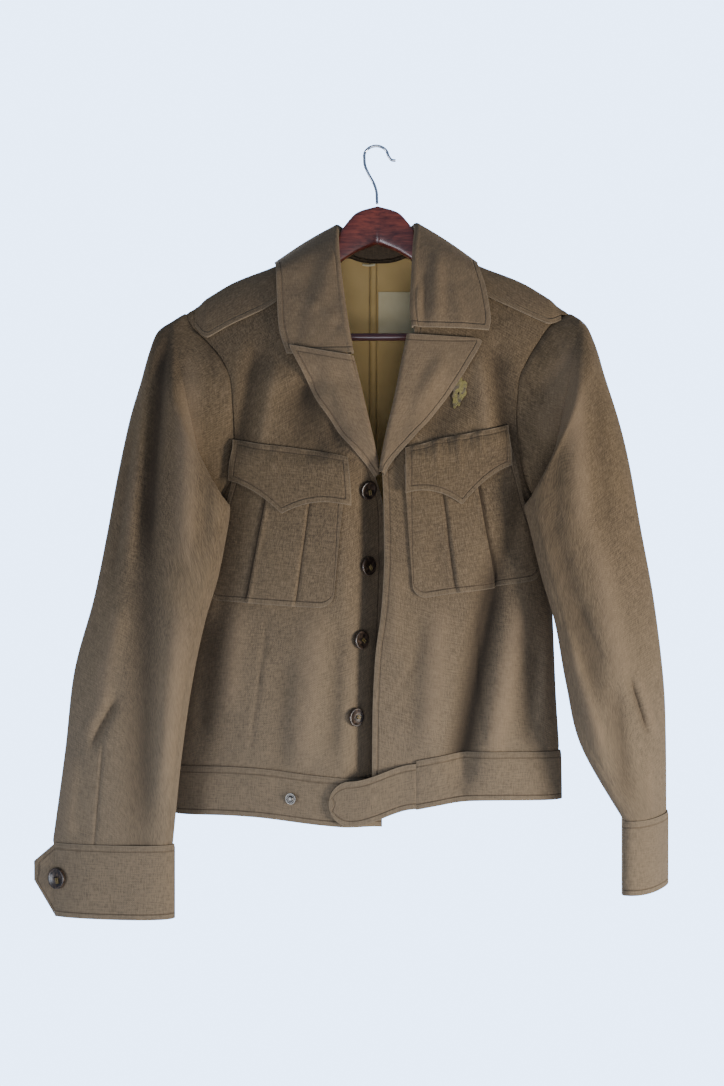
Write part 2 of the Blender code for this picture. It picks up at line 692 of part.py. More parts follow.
def make_panels():
    rows = panel_rows("front_right", right_inner, right_outer, right_waist, FRONT_COLUMNS, True)
    sheet("front_right", "cloth", rows, CLOTH, (0, -1, 0))
    rows = panel_rows("front_left", left_inner, left_outer, left_waist, FRONT_COLUMNS)
    sheet("front_left", "cloth", rows, CLOTH, (0, -1, 0))
    rows = panel_rows("back", back_right_outer, back_left_outer, back_waist, BACK_COLUMNS, True)
    sheet("back", "cloth", rows, CLOTH, (0, 1, 0))


def signed_power(value, power):
    return math.copysign(abs(value) ** power, value)


def ring_point(ring, angle, grow=0.0):
    """A point round a sleeve ring: 0 is its outer end, pi / 2 its front, pi its inner end."""
    outer = np.array([ring.out_x, ring.out_y, ring.out_z])
    inner = np.array([ring.in_x, ring.in_y, ring.in_z])
    middle = (outer + inner) / 2
    reach = outer - middle
    half = np.linalg.norm(reach)
    reach /= half
    behind = np.array([0.0, 1.0, 0.0]) - reach[1] * reach
    behind /= np.linalg.norm(behind)
    along = signed_power(math.cos(angle), SLEEVE_POWER) * (half + grow)
    across = signed_power(math.sin(angle), SLEEVE_POWER) * (ring.deep + grow)
    if across < 0 and math.cos(angle) < 0:
        across *= 1 - INNER_FLAT * math.sqrt(-math.cos(angle))
    return middle + reach * along - behind * across


def mirrored(ring):
    return ring._replace(out_x=-ring.out_x, in_x=-ring.in_x)


def between_rings(rings, share):
    """The ring at a share of the way down a sleeve, on smooth curves through its rows."""
    place = share * (len(rings) - 1)
    i = min(int(place), len(rings) - 2)
    t = place - i
    values = []
    for column in range(len(Ring._fields)):
        line = [ring[column] for ring in rings]
        before = line[max(i - 1, 0)]
        after = line[min(i + 2, len(line) - 1)]
        a, b = line[i], line[i + 1]
        bend = (b - before) * t * (1 - t) ** 2 / 2 - (after - a) * t * t * (1 - t) / 2
        values.append(lerp(a, b, t * t * (3 - 2 * t)) + bend)
    return Ring(*values)


def armhole_point(right, angle):
    """The point of the armhole's edge that a sleeve starts from, just clear of the panels."""
    sign = -1 if right else 1
    side = "right" if right else "left"
    low = (1 - math.cos(angle)) / 2
    z = lerp(shoulder_z(SHOULDER_REACH) + 0.0005, ARMPIT_Z + 0.002, low)
    front = math.sin(angle) >= 0
    x = sign * armhole_x[f"{side}_{'front' if front else 'back'}"](z)
    panel = f"front_{side}" if front else "back"
    root = math.sqrt(max(panel_top(x, False)[1] - z, 0.0))
    point = body_point(panel, x, root if front else -root)
    stand = step_between(0.25, 1.0, low)
    point[0] += sign * (ARMHOLE_CLEAR + SLEEVE_STAND * stand)
    point[2] -= ARMHOLE_LOWER * step_between(0.0, 0.05, low) * step_between(0.45, 0.2, low)
    return point


def sleeve_rows(right, top_sleeve, columns):
    rings = RIGHT_SLEEVE if right else LEFT_SLEEVE
    if right:
        rings = [mirrored(ring) for ring in rings]
    rows = []
    for i in range(SLEEVE_RINGS + 1):
        share = (i / SLEEVE_RINGS) ** RING_CROWD
        down = (share - ARMHOLE_SHARE) / (1 - ARMHOLE_SHARE)
        seam = TOP_SLEEVE_TO - SEAM_RISE * max(1 - i / SEAM_RISE_RINGS, 0.0)
        first, last = TOP_SLEEVE_FROM, seam
        if not top_sleeve:
            ease = max(1 - abs(i - REAR_EASE_RING) / REAR_EASE_SPAN, 0.0)
            rear_gap = SLEEVE_GAP + REAR_EASE * ease
            first, last = seam + SLEEVE_GAP, TOP_SLEEVE_FROM + 2 * math.pi - rear_gap
        row = []
        for j in range(columns + 1):
            angle = lerp(first, last, j / columns)
            if i == 0:
                row.append(armhole_point(right, angle))
                continue
            point = ring_point(between_rings(rings, down), angle)
            folds = RIGHT_SLEEVE_FOLDS if right else LEFT_SLEEVE_FOLDS
            if math.sin(angle) > 0:
                point[1] -= fold_height(folds, point[0], point[2])
            row.append(point)
        rows.append(row)
    return rows


def make_sleeves():
    for right in (True, False):
        side = "right" if right else "left"
        sign = -1 if right else 1
        rows = sleeve_rows(right, True, TOP_COLUMNS)
        sheet(f"top_sleeve_{side}", "cloth", rows, CLOTH, (0, -1, 0))
        rows = sleeve_rows(right, False, UNDER_COLUMNS)
        sheet(f"under_sleeve_{side}", "cloth", rows, CLOTH, (-sign, 0.3, 0))


def cuff_frame(right):
    ring = (RIGHT_SLEEVE if right else LEFT_SLEEVE)[-1]
    return mirrored(ring) if right else ring


def cuff_path(right, run, columns):
    """A cuff's place at a column: the pointed tab first, then round the sleeve's end."""
    ring = cuff_frame(right)
    if run >= CUFF_TAB_COLUMNS:
        share = (run - CUFF_TAB_COLUMNS) / (columns - CUFF_TAB_COLUMNS)
        return ring_point(ring, lerp(CUFF_FRONT_FROM, CUFF_BACK_TO, share), CUFF_OUT), 0.0
    start = ring_point(ring, CUFF_FRONT_FROM, CUFF_OUT)
    outwards = start - ring_point(ring, CUFF_FRONT_FROM + 0.35, CUFF_OUT)
    outwards[2] = 0.0
    outwards[1] *= 0.3
    outwards /= np.linalg.norm(outwards)
    past = 1 - run / CUFF_TAB_COLUMNS
    return start + outwards * CUFF_TAB * past, past


def make_cuffs():
    for right in (True, False):
        side = "right" if right else "left"
        top = cuff_frame(right).out_z - CUFF_DROP
        rows = []
        for level in CUFF_LEVELS:
            row = []
            for run in range(CUFF_COLUMNS + 1):
                point, past = cuff_path(right, run, CUFF_COLUMNS)
                tip = step_between(0.0, 1.0, past) * CUFF_TIP_BLUNT
                share = lerp(level, CUFF_TIP_SHARE + 0.1 * (level - 0.5), tip)
                row.append(np.array([point[0], point[1], top - CUFF_HEIGHT * share]))
            rows.append(row)
        sheet(f"cuff_{side}", "cloth", rows, DOUBLE_CLOTH, (0, -1, 0))


def band_point(x_share, z, right_front, back=False, lift=0.0):
    """A point on the closed waist section: x_share runs from -1 at the wearer's right side
    to 1 at the left."""
    angle = x_share * math.pi / 2
    across = signed_power(math.sin(angle), 2 / SECTION_POWER)
    deep = abs(math.cos(angle)) ** (2 / SECTION_POWER)
    width = right_width(z) if across < 0 else left_width(z)
    side = side_depth(z)
    depth = (back_depth(z) if back else front_depth(z)) - side
    x = across * (width + lift)
    y = side + deep * (depth + (lift if back else -lift))
    if right_front:
        y += SINK * step_between(SINK_FROM_X, SINK_TO_X, x)
    return np.array([x, y, z])


def share_at(x, z):
    width = right_width(z) if x < 0 else left_width(z)
    across = min(abs(x) / width, 1.0) ** (SECTION_POWER / 2)
    return math.copysign(math.asin(across) * 2 / math.pi, x)


def band_rows(waist, start_x, end_x, columns, right_front=False, back=False):
    middle = waist(0.0) - BAND_HEIGHT / 2
    start, end = share_at(start_x, middle), share_at(end_x, middle)
    rows = []
    for level in BAND_LEVELS:
        row = []
        for j in range(columns + 1):
            share = lerp(start, end, j / columns)
            x = band_point(share, middle, right_front, back)[0]
            z = waist(x) - SEAM - BAND_HEIGHT * level
            point = band_point(share, z, right_front, back, BAND_LIFT)
            side = side_depth(z)
            if abs(share) > 0.995:
                point[1] = side + (SEAM if back else -SEAM) / 2
            row.append(point)
        rows.append(row)
    return rows


def make_waistband():
    rows = band_rows(right_waist, -BAND_END, RIGHT_BAND_TO, 12, right_front=True)
    sheet("waistband_right", "cloth", rows, BAND_CLOTH, (0, -1, 0))
    rows = band_rows(left_waist, TAB_RIGHT + SEAM, BAND_END, 9)
    sheet("waistband_left", "cloth", rows, BAND_CLOTH, (0, -1, 0))
    rows = band_rows(back_waist, -BAND_END, BAND_END, 18, back=True)
    sheet("waistband_back", "cloth", rows, BAND_CLOTH, (0, 1, 0))
    make_waist_tab()


def make_waist_tab():
    rows = []
    for i in range(TAB_ROWS + 1):
        row = []
        for j in range(TAB_COLUMNS + 1):
            x = lerp(TAB_LEFT, TAB_RIGHT, (j / TAB_COLUMNS) ** TAB_CROWD)
            top = lerp(TAB_TOP_LEFT, TAB_TOP_RIGHT, step_between(-0.03, TAB_RIGHT, x))
            half = TAB_HEIGHT / 2
            from_end = x - TAB_LEFT
            if from_end < TAB_ROUND:
                reach = 1 - from_end / TAB_ROUND
                half *= max(math.sqrt(1 - reach * reach), TAB_END)
            z = top - TAB_HEIGHT / 2 + half * (1 - 2 * i / TAB_ROWS)
            point = band_point(share_at(x, z), z, False, False, BAND_LIFT)
            point[1] -= TAB_PROUD * step_between(0.035, -0.01, x)
            row.append(point)
        rows.append(row)
    sheet("waist_tab", "cloth", rows, BAND_CLOTH, (0, -1, 0))


def pocket_spot(pocket, u, v):
    """(x, z) in a pocket: u from its inner to its outer side, v from top to foot."""
    top = lerp(np.array(pocket.top_in), np.array(pocket.top_out), u)
    low = lerp(np.array(pocket.low_in), np.array(pocket.low_out), u)
    length = np.linalg.norm(low - top)
    width = np.linalg.norm(np.array(pocket.low_in) - np.array(pocket.low_out))
    from_side = min(u, 1 - u) * width
    if from_side < POCKET_ROUND:
        reach = 1 - from_side / POCKET_ROUND
        length -= POCKET_ROUND * (1 - math.sqrt(max(1 - reach * reach, 0.0)))
    return top + (low - top) / np.linalg.norm(low - top) * length * v


def make_pockets():
    for side, pocket in (("right", RIGHT_POCKET), ("left", LEFT_POCKET)):
        first, last = pocket.pleats
        edges = sorted([0.0, 0.05, 0.12, first - 0.03, first, first + 0.05,
                        (first + last) / 2, last - 0.05, last, last + 0.03, 0.88, 0.95, 1.0])
        rows = []
        for i in range(POCKET_ROWS + 1):
            row = []
            for u in edges:
                v = i / POCKET_ROWS
                x, z = pocket_spot(pocket, u, v)
                spread = lerp(PLEAT_SPREAD, -PLEAT_SPREAD, v)
                nearly = PLEAT_SPREAD + 0.001
                raised = first + spread <= u + nearly and u - nearly <= last - spread
                rise = PLEAT_RISE if first <= u <= last and raised else 0.0
                row.append(laid(f"front_{side}", x, z, FIRST_LAYER + rise))
            rows.append(row)
        sheet(f"pocket_{side}", "cloth", rows, POCKET_CLOTH, (0, -1, 0))


def make_flaps():
    for side, flap in (("right", RIGHT_FLAP), ("left", LEFT_FLAP)):
        rows = []
        for i in range(FLAP_ROWS + 1):
            row = []
            for j in range(FLAP_COLUMNS + 1):
                u = j / FLAP_COLUMNS
                x = lerp(flap.in_x, flap.out_x, u)
                top = lerp(flap.in_z, flap.out_z, u)
                nearness = max(1 - abs(u - flap.point_at) / FLAP_CUSP, 0.0)
                height = lerp(flap.in_height, flap.out_height, u) + flap.point * nearness ** 2
                z = top - height * i / FLAP_ROWS
                over_pocket = step_between(0.0, 0.3, i / FLAP_ROWS)
                lift = FIRST_LAYER + (POCKET_CLOTH + PLEAT_RISE + LAY_GAP) * over_pocket
                row.append(laid(f"front_{side}", x, z, lift + FLAP_CLEAR))
            rows.append(row)
        sheet(f"pocket_flap_{side}", "cloth", rows, DOUBLE_CLOTH, (0, -1, 0))


def make_lapels():
    for side, table in (("right", RIGHT_LAPEL), ("left", LEFT_LAPEL)):
        rows = []
        count = (len(table) - 1) * LAPEL_STEPS
        for i in range(count + 1):
            place = i / count * (len(table) - 1)
            k = min(int(place), len(table) - 2)
            row_at = [lerp(a, b, place - k) for a, b in zip(table[k], table[k + 1])]
            roll_x, roll_z, edge_x, edge_z = row_at
            row = []
            for j in range(LAPEL_COLUMNS + 2):
                u = max(j - 1, 0) / LAPEL_COLUMNS
                x, z = lerp(roll_x, edge_x, u), lerp(roll_z, edge_z, u)
                lift = FIRST_LAYER
                if side == "right":
                    over = step_between(-0.268, -0.238, z)
                    lift += RIGHT_LAPEL_RISE * over
                if j == 0:
                    lift = -LAPEL_UNDER
                elif j == 1:
                    x += math.copysign(LAPEL_TURN, edge_x - roll_x)
                    lift = lift * 0.75
                row.append(laid(f"front_{side}", x, z, lift))
            rows.append(row)
        sheet(f"lapel_{side}", "cloth", rows, DOUBLE_CLOTH, (0, -1, 0))


def collar_seam(row, right):
    """Where the collar is sewn on: the back neck, or the inner edge of a front."""
    if row.fold_y is not None:
        y, z = panel_top(row.at, True)
        return np.array([row.at, y - 3 * SEAM, z + 3 * SEAM])
    inner = right_inner(row.at) if right else left_inner(row.at)
    x = inner + (2 * SEAM if right else -2 * SEAM)
    return laid("front_right" if right else "front_left", x, row.at, -SEAM)


def collar_section(row):
    """Seam, stand, fold and fall of the collar at one row."""
    right = row.edge_x < 0
    seam = collar_seam(row, right)
    panel = "back" if row.edge_drop < 0 else ("front_right" if right else "front_left")
    if row.fold_y is None:
        fold = laid(panel if row.edge_drop > 0 else "front_right", row.fold_x, row.fold_z,
                    COLLAR_PROUD)
    else:
        fold = np.array([row.fold_x, row.fold_y, row.fold_z])
    root = math.copysign(math.sqrt(abs(row.edge_drop)), row.edge_drop)
    edge = laid_over(panel, row.edge_x, root, FIRST_LAYER + row.lift)
    up = (fold - seam) / np.linalg.norm(fold - seam)
    out = edge - fold
    out -= up * float(out @ up)
    out /= np.linalg.norm(out)
    section = [seam, lerp(seam, fold, COLLAR_STAND_SHARE)]
    for turn in COLLAR_TURNS:
        centre = fold - up * COLLAR_FOLD_RADIUS
        section.append(centre + (up * math.cos(turn) + out * math.sin(turn)) * COLLAR_FOLD_RADIUS)
    start = section[-1]
    for k in range(1, COLLAR_FALL_COLUMNS + 1):
        share = k / COLLAR_FALL_COLUMNS
        if row.fold_y is None and row.edge_drop > 0.02:
            z = lerp(start[2], edge[2], share)
            x = lerp(start[0], edge[0], share)
            lift = lerp(COLLAR_PROUD - CLOTH, LAY_GAP + row.lift, share) + CLOTH
            section.append(laid(panel, x, z, lift))
            continue
        bulge = COLLAR_BULGE * math.sin(share * math.pi)
        section.append(lerp(start, edge, share) + np.array([0.0, 0.0, bulge]))
    return np.array(section)


def between_sections(sections, place):
    """The section at a place along the table's sections, on smooth curves."""
    i = min(int(place), len(sections) - 2)
    t = place - i
    before, after = sections[max(i - 1, 0)], sections[min(i + 2, len(sections) - 1)]
    a, b = sections[i], sections[i + 1]
    bend = (b - before) * t * (1 - t) ** 2 / 2 - (after - a) * t * t * (1 - t) / 2
    return lerp(a, b, t * t * (3 - 2 * t)) + bend


def make_collar():
    sections = [collar_section(row) for row in COLLAR]
    count = (len(COLLAR) - 1) * COLLAR_STEPS
    rows = [list(between_sections(sections, i / COLLAR_STEPS)) for i in range(count + 1)]
    sheet("collar", "cloth", rows, DOUBLE_CLOTH, (0, 1, 0.5))


def make_straps():
    for side, table in (("right", RIGHT_STRAP), ("left", LEFT_STRAP)):
        sign = -1 if side == "right" else 1
        front, behind = smooth(table, "x", "front"), smooth(table, "x", "back")
        rows = []
        for i in range(STRAP_COLUMNS + 1):
            x = lerp(table[0].x, table[-1].x, i / STRAP_COLUMNS)
            row = []
            for j in range(STRAP_ROWS + 1):
                root = lerp(-math.sqrt(-behind(x)), math.sqrt(front(x)), j / STRAP_ROWS)
                panel = "back" if root < 0 else f"front_{side}"
                row.append(laid_over(panel, sign * x, root, FIRST_LAYER))
            rows.append(row)
        sheet(f"shoulder_strap_{side}", "cloth", rows, DOUBLE_CLOTH, (0, -0.5, 1))


def lining_point(x, z, inside):
    """A point inside the back, on or over the lining with its centre pleat."""
    from_pleat = (x - LINING_PLEAT_X) / LINING_PLEAT_WIDE
    pleat = math.exp(-(from_pleat ** 2)) * LINING_PLEAT_HIGH
    return laid("back", x, z, -inside) - np.array([0.0, pleat, 0.0])


def make_lining():
    """The lining of the back, seen through the open neck."""
    rows = []
    for i in range(LINING_ROWS + 1):
        row = []
        for j in range(LINING_COLUMNS + 1):
            u = lerp(-1.0, 1.0, j / LINING_COLUMNS)
            half = lerp(LINING_HALF_TOP, LINING_HALF, step_between(0.0, 0.4, i / LINING_ROWS))
            x = u * half
            top = panel_top(x, True)[1] - LINING_DROP * (0.1 + step_between(0.030, 0.060, abs(x)))
            z = lerp(top, LINING_FOOT, (i / LINING_ROWS) ** 1.3)
            row.append(lining_point(x, z, LINING_IN))
        rows.append(row)
    sheet("lining_back", "lining", rows, LINING_CLOTH, (0, -1, 0))
    rows = []
    for i in range(LABEL_STEPS + 1):
        z = LABEL.z - LABEL_HIGH * i / LABEL_STEPS
        row = []
        for j in range(LABEL_STEPS + 1):
            x = LABEL.x + LABEL_WIDE * j / LABEL_STEPS
            row.append(lining_point(x, z, LINING_IN + LINING_CLOTH + LAY_GAP))
        rows.append(row)
    sheet("neck_label", "label", rows, LINING_CLOTH, (0, -1, 0))


def make_fly():
    rows = []
    for i in range(FLY_ROWS + 1):
        z = lerp(FLY_TOP, FLY_FOOT, i / FLY_ROWS)
        row = []
        for j in range(FLY_COLUMNS + 1):
            x = left_edge(z) + FLY_FROM + FLY_WIDE * j / FLY_COLUMNS
            row.append(laid("front_left", x, z, -FLY_IN))
        rows.append(row)
    sheet("fly_strip", "cloth", rows, CLOTH, (0, 1, 0))


def make_scrap():
    rows = []
    for i in range(SCRAP_STEPS + 1):
        row = []
        for j in range(SCRAP_STEPS + 1):
            top = lerp(np.array(SCRAP[0]), np.array(SCRAP[1]), j / SCRAP_STEPS)
            low = lerp(np.array(SCRAP[2]), np.array(SCRAP[3]), j / SCRAP_STEPS)
            x, z = lerp(top, low, i / SCRAP_STEPS)
            row.append(laid("front_left", x, z, FIRST_LAYER))
        rows.append(row)
    sheet("chest_scrap", "emblem", rows, LINING_CLOTH, (0, -1, 0))


def turned(name, kind, profile, place, axis):
    """A turned piece: a profile of (radius, height) pairs, top first, set along an axis."""
    outline = [(0.0, profile[0][1]), *profile, (0.0, profile[-1][1])]
    points = [(radius, 0.0, height) for radius, height in outline]
    mesh = bpy.data.meshes.new(name)
    mesh.from_pydata(points, [(i, i + 1) for i in range(len(points) - 1)], [])
    mesh.materials.append(material(kind))
    obj = bpy.data.objects.new(name, mesh)
    parts.objects.link(obj)
    turn = obj.modifiers.new("turn", "SCREW")
    turn.axis = "Z"
    turn.steps = turn.render_steps = ROUND_SIDES
    turn.use_merge_vertices = True
    turn.merge_threshold = TURNED_MERGE
    facing = Vector(axis).normalized()
    obj.rotation_mode = "QUATERNION"
    obj.rotation_quaternion = Vector((0, 0, 1)).rotation_difference(facing)
    obj.location = place
    return obj


def button(name, radius, place, axis):
    profile = [(radius * out, BUTTON_THICK * up) for out, up in BUTTON_PROFILE]
    turned(name, "button", profile, place, axis)


def make_buttons():
    for number, spot in enumerate(FRONT_BUTTONS, 1):
        base = laid("front_right", spot.x, spot.z, CLOTH + BUTTON_SHANK)
        axis = base - laid("front_right", spot.x, spot.z, 0.0)
        button(f"front_button_{number}", BUTTON_RADIUS, base, axis)
    for right in (True, False):
        side = "right" if right else "left"
        run = CUFF_TAB_COLUMNS + CUFF_BUTTON_RUN
        place, _ = cuff_path(right, run, CUFF_COLUMNS)
        inner, _ = cuff_path(right, run + CUFF_BUTTON_STEP, CUFF_COLUMNS)
        along = place - inner
        drop = CUFF_HEIGHT * CUFF_TIP_SHARE * CUFF_BUTTON_DROP
        place[2] = cuff_frame(right).out_z - drop
        out = np.array([along[1], -along[0], 0.0])
        out /= np.linalg.norm(out)
        if out[1] > 0:
            out = -out
        place += out * (DOUBLE_CLOTH + BUTTON_SHANK)
        button(f"cuff_button_{side}", CUFF_BUTTON_RADIUS, place, out)


def make_stud():
    share = share_at(STUD.x, STUD.z)
    base = band_point(share, STUD.z, True, False, BAND_LIFT + BAND_CLOTH + STUD_STAND)
    inner = band_point(share, STUD.z, True, False, 0.0)
    profile = [(STUD_RADIUS * out, STUD_HIGH * up) for out, up in STUD_PROFILE]
    turned("press_stud", "chrome", profile, base, (base - inner) * np.array([1, 1, 0]))


def make_hanger():
    top, foot = smooth(HANGER_ARM, "x", "top"), smooth(HANGER_ARM, "x", "foot")
    thick = smooth(HANGER_ARM, "x", "thick")
    reach = HANGER_ARM[-1].x
    points, faces = [], []
    for i in range(-ARM_STEPS, ARM_STEPS + 1):
        x = reach * i / ARM_STEPS
        high, low, half = top(abs(x)), foot(abs(x)), thick(abs(x)) / 2
        for k in range(ARM_SIDES):
            angle = 2 * math.pi * (k + 0.5) / ARM_SIDES
            deep = half * signed_power(math.cos(angle), ARM_SQUARE[0])
            high_half = (high - low) / 2 * signed_power(math.sin(angle), ARM_SQUARE[1])
            points.append((x, shoulder_y(x) - ARM_FORWARD + deep, (high + low) / 2 + high_half))
    for i in range(2 * ARM_STEPS):
        for k in range(ARM_SIDES):
            a, b = i * ARM_SIDES + k, i * ARM_SIDES + (k + 1) % ARM_SIDES
            faces.append((a, b, b + ARM_SIDES, a + ARM_SIDES))
    faces.append(tuple(reversed(range(ARM_SIDES))))
    faces.append(tuple(2 * ARM_STEPS * ARM_SIDES + k for k in range(ARM_SIDES)))
    arms = mesh_object("hanger_arms", "wood", points, faces)
    fix_normals(arms.data)
    socket = rod("bar_socket", BAR_RADIUS + BAR_CLEAR, BAR_HALF + SOCKET_DEEPER, cutters)
    cut = arms.modifiers.new("bar_sockets", "BOOLEAN")
    cut.object = socket
    cut.operation = "DIFFERENCE"
    socket.hide_render = True
    socket.display_type = "WIRE"
    rod("hanger_bar", BAR_RADIUS, BAR_HALF, parts)


def fix_normals(mesh):
    shape = bmesh.new()
    shape.from_mesh(mesh)
    bmesh.ops.recalc_face_normals(shape, faces=shape.faces)
    shape.to_mesh(mesh)
    shape.free()


def rod(name, radius, half, collection):
    """A straight round bar along X at the trouser bar's height."""
    mesh = bpy.data.meshes.new(name)
    shape = bmesh.new()
    bmesh.ops.create_cone(shape, cap_ends=True, segments=ROUND_SIDES, radius1=radius,
                          radius2=radius, depth=2 * half)
    bmesh.ops.rotate(shape, verts=shape.verts, cent=(0, 0, 0),
                     matrix=Matrix.Rotation(math.pi / 2, 3, "Y"))
    shape.to_mesh(mesh)
    shape.free()
    mesh.materials.append(material("wood"))
    obj = bpy.data.objects.new(name, mesh)
    obj.location = (0, shoulder_y(BAR_HALF), BAR_Z)
    collection.objects.link(obj)
    return obj


def wire(name, kind, path, radius):
    """A round wire or cord along a path of points."""
    curve = bpy.data.curves.new(name, "CURVE")
    curve.dimensions = "3D"
    curve.bevel_depth = radius
    curve.bevel_resolution = 2
    curve.use_fill_caps = True
    spline = curve.splines.new("POLY")
    spline.points.add(len(path) - 1)
    for spot, at in zip(spline.points, path):
        spot.co = (*at, 1.0)
    curve.materials.append(material(kind))
    parts.objects.link(bpy.data.objects.new(name, curve))


def make_hook():
    """A wire hook: a shank from the wood, a bend over the origin, and a short tip."""
    centre_z = HOOK_RADIUS - HOOK_BEND
    path = [(x, 0.0, z) for x, z in HOOK_SHANK]
    for k in range(HOOK_STEPS + 1):
        angle = math.radians(lerp(HOOK_FROM, HOOK_TO, k / HOOK_STEPS))
        x = HOOK_MIDDLE_X + HOOK_BEND * HOOK_WIDEN * math.cos(angle)
        path.append((x, 0.0, centre_z + HOOK_BEND * math.sin(angle)))
    path += [(x, 0.0, z) for x, z in HOOK_TIP]
    wire("hanger_hook", "chrome", path, HOOK_RADIUS)


def make_loop():
    """The short hanging loop sewn at the middle of the back neck."""
    inside = LINING_IN + LINING_CLOTH + 3 * LAY_GAP
    base = laid("back", LOOP_SPOT.x, LOOP_SPOT.z, -inside)
    path = []
    for k in range(LOOP_STEPS + 1):
        t = k / LOOP_STEPS
        sag = LOOP_SAG * math.sin(t * math.pi)
        path.append((base[0] + LOOP_WIDE * (t - 0.5), base[1] - sag, base[2] - 0.8 * sag))
    wire("hanging_loop", "label", path, LOOP_RADIUS)


clear_scene()
parts = bpy.data.collections.new("ike_jacket")
cutters = bpy.data.collections.new("cutters")
cutters.hide_render = True
for collection in (parts, cutters):
    bpy.context.scene.collection.children.link(collection)
make_panels()
make_sleeves()
make_cuffs()
make_waistband()
make_pockets()
make_flaps()
make_lapels()
make_collar()
make_straps()
make_lining()
make_fly()
make_scrap()
make_buttons()
make_stud()
make_hanger()
make_hook()
make_loop()
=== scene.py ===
import math

import bmesh
import bpy
import numpy as np
from mathutils import Matrix, Vector


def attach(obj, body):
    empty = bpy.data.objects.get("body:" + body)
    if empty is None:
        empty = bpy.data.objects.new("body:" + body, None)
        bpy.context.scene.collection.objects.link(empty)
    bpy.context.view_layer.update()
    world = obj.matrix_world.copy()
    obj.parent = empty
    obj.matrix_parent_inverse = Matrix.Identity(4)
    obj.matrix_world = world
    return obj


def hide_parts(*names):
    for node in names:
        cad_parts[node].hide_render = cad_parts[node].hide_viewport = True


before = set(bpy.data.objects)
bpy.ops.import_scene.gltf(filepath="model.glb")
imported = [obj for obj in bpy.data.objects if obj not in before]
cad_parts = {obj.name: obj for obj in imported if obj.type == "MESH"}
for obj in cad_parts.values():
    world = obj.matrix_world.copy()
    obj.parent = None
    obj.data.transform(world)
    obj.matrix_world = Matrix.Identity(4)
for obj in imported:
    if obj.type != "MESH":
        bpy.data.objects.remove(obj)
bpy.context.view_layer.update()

# A wool ike jacket on a wooden hanger. Metres throughout: the wearer faces -Y, the wearer's
# right is at -X, and the origin is the inside of the hook's bend.

clothSizes = {
    "single": 0.0016,
    "double": 0.0022,
    "band": 0.0026,
    "tab": 0.0026,
    "pocket": 0.0014,
    "lining": 0.0010,
    "seam": 0.0004,
    "layGap": 0.0010,
}
firstLayer = clothSizes["single"] + clothSizes["layGap"]
seamGap = clothSizes["seam"]
# how far the edges of each cloth are rounded
rims = {"single": 0.0004, "double": 0.0007, "band": 0.0008, "tab": 0.0009, "pocket": 0.0004,
        "lining": 0.0002}
deepestFold = -2.5  # at this depth, in the wool's fold units, a hollow's painted shade is darkest
litLikeRidge = 0.8  # how far collar and lapels, and shoulder straps by half, are painted paler, as the lit ridge of a fold is
forwards, backwards = (0, -1, 0), (0, 1, 0)
sideSign = {"right": -1, "left": 1}

bodyForm = {
    "allowance": 0.008,
    "hemIn": 0.0036,
    # height, half width right and left, depth in front and behind, depth of the side seam
    "sections": [
        (-0.740, 0.2185, 0.1975, -0.0730, 0.0220, -0.022),
        (-0.670, 0.2155, 0.1965, -0.0740, 0.0240, -0.022),
        (-0.600, 0.2080, 0.1925, -0.0780, 0.0290, -0.022),
        (-0.500, 0.1970, 0.1880, -0.0840, 0.0340, -0.022),
        (-0.400, 0.1880, 0.1820, -0.0870, 0.0360, -0.022),
        (-0.300, 0.2120, 0.2080, -0.0840, 0.0360, -0.022),
        (-0.200, 0.2350, 0.2350, -0.0700, 0.0300, -0.020),
        (-0.080, 0.2400, 0.2400, -0.0500, 0.0200, -0.010),
    ],
    "squareness": 2.2,
    "shoulderRound": 0.13,
    # x, height
    "shoulderLine": [(0.000, -0.0800), (0.050, -0.1025), (0.106, -0.1350), (0.155, -0.1560),
                     (0.190, -0.1780), (0.207, -0.1880)],
    "sweep": 0.032,
    "reach": 0.207,
    "neckHalf": 0.050,
    "backNeckY": 0.020,
    "backNeckZ": -0.122,
    # height, then the armhole's edge on the right front, left front, right back and left back
    "armhole": [
        (-0.400, 0.1880, 0.1820, 0.1880, 0.1820),
        (-0.390, 0.1700, 0.1680, 0.1820, 0.1760),
        (-0.370, 0.1570, 0.1570, 0.1750, 0.1690),
        (-0.340, 0.1525, 0.1505, 0.1710, 0.1660),
        (-0.300, 0.1535, 0.1475, 0.1720, 0.1680),
        (-0.262, 0.1565, 0.1500, 0.1770, 0.1730),
        (-0.240, 0.1654, 0.1590, 0.1830, 0.1790),
        (-0.219, 0.1823, 0.1720, 0.1900, 0.1870),
        (-0.200, 0.2010, 0.1860, 0.1990, 0.1970),
        (-0.188, 0.2065, 0.2060, 0.2065, 0.2060),
    ],
    "armpitZ": -0.400,
    "crowdZ": (-0.34, -0.44),
    "sunkDepth": 0.0007,  # cloth turns in this much where it is sewn
    "sunkWidth": 0.0024,
    "foldUnit": 0.005,    # a fold this high counts as 1 for the wool's painted highlight and shade
    "rows": 150,
}

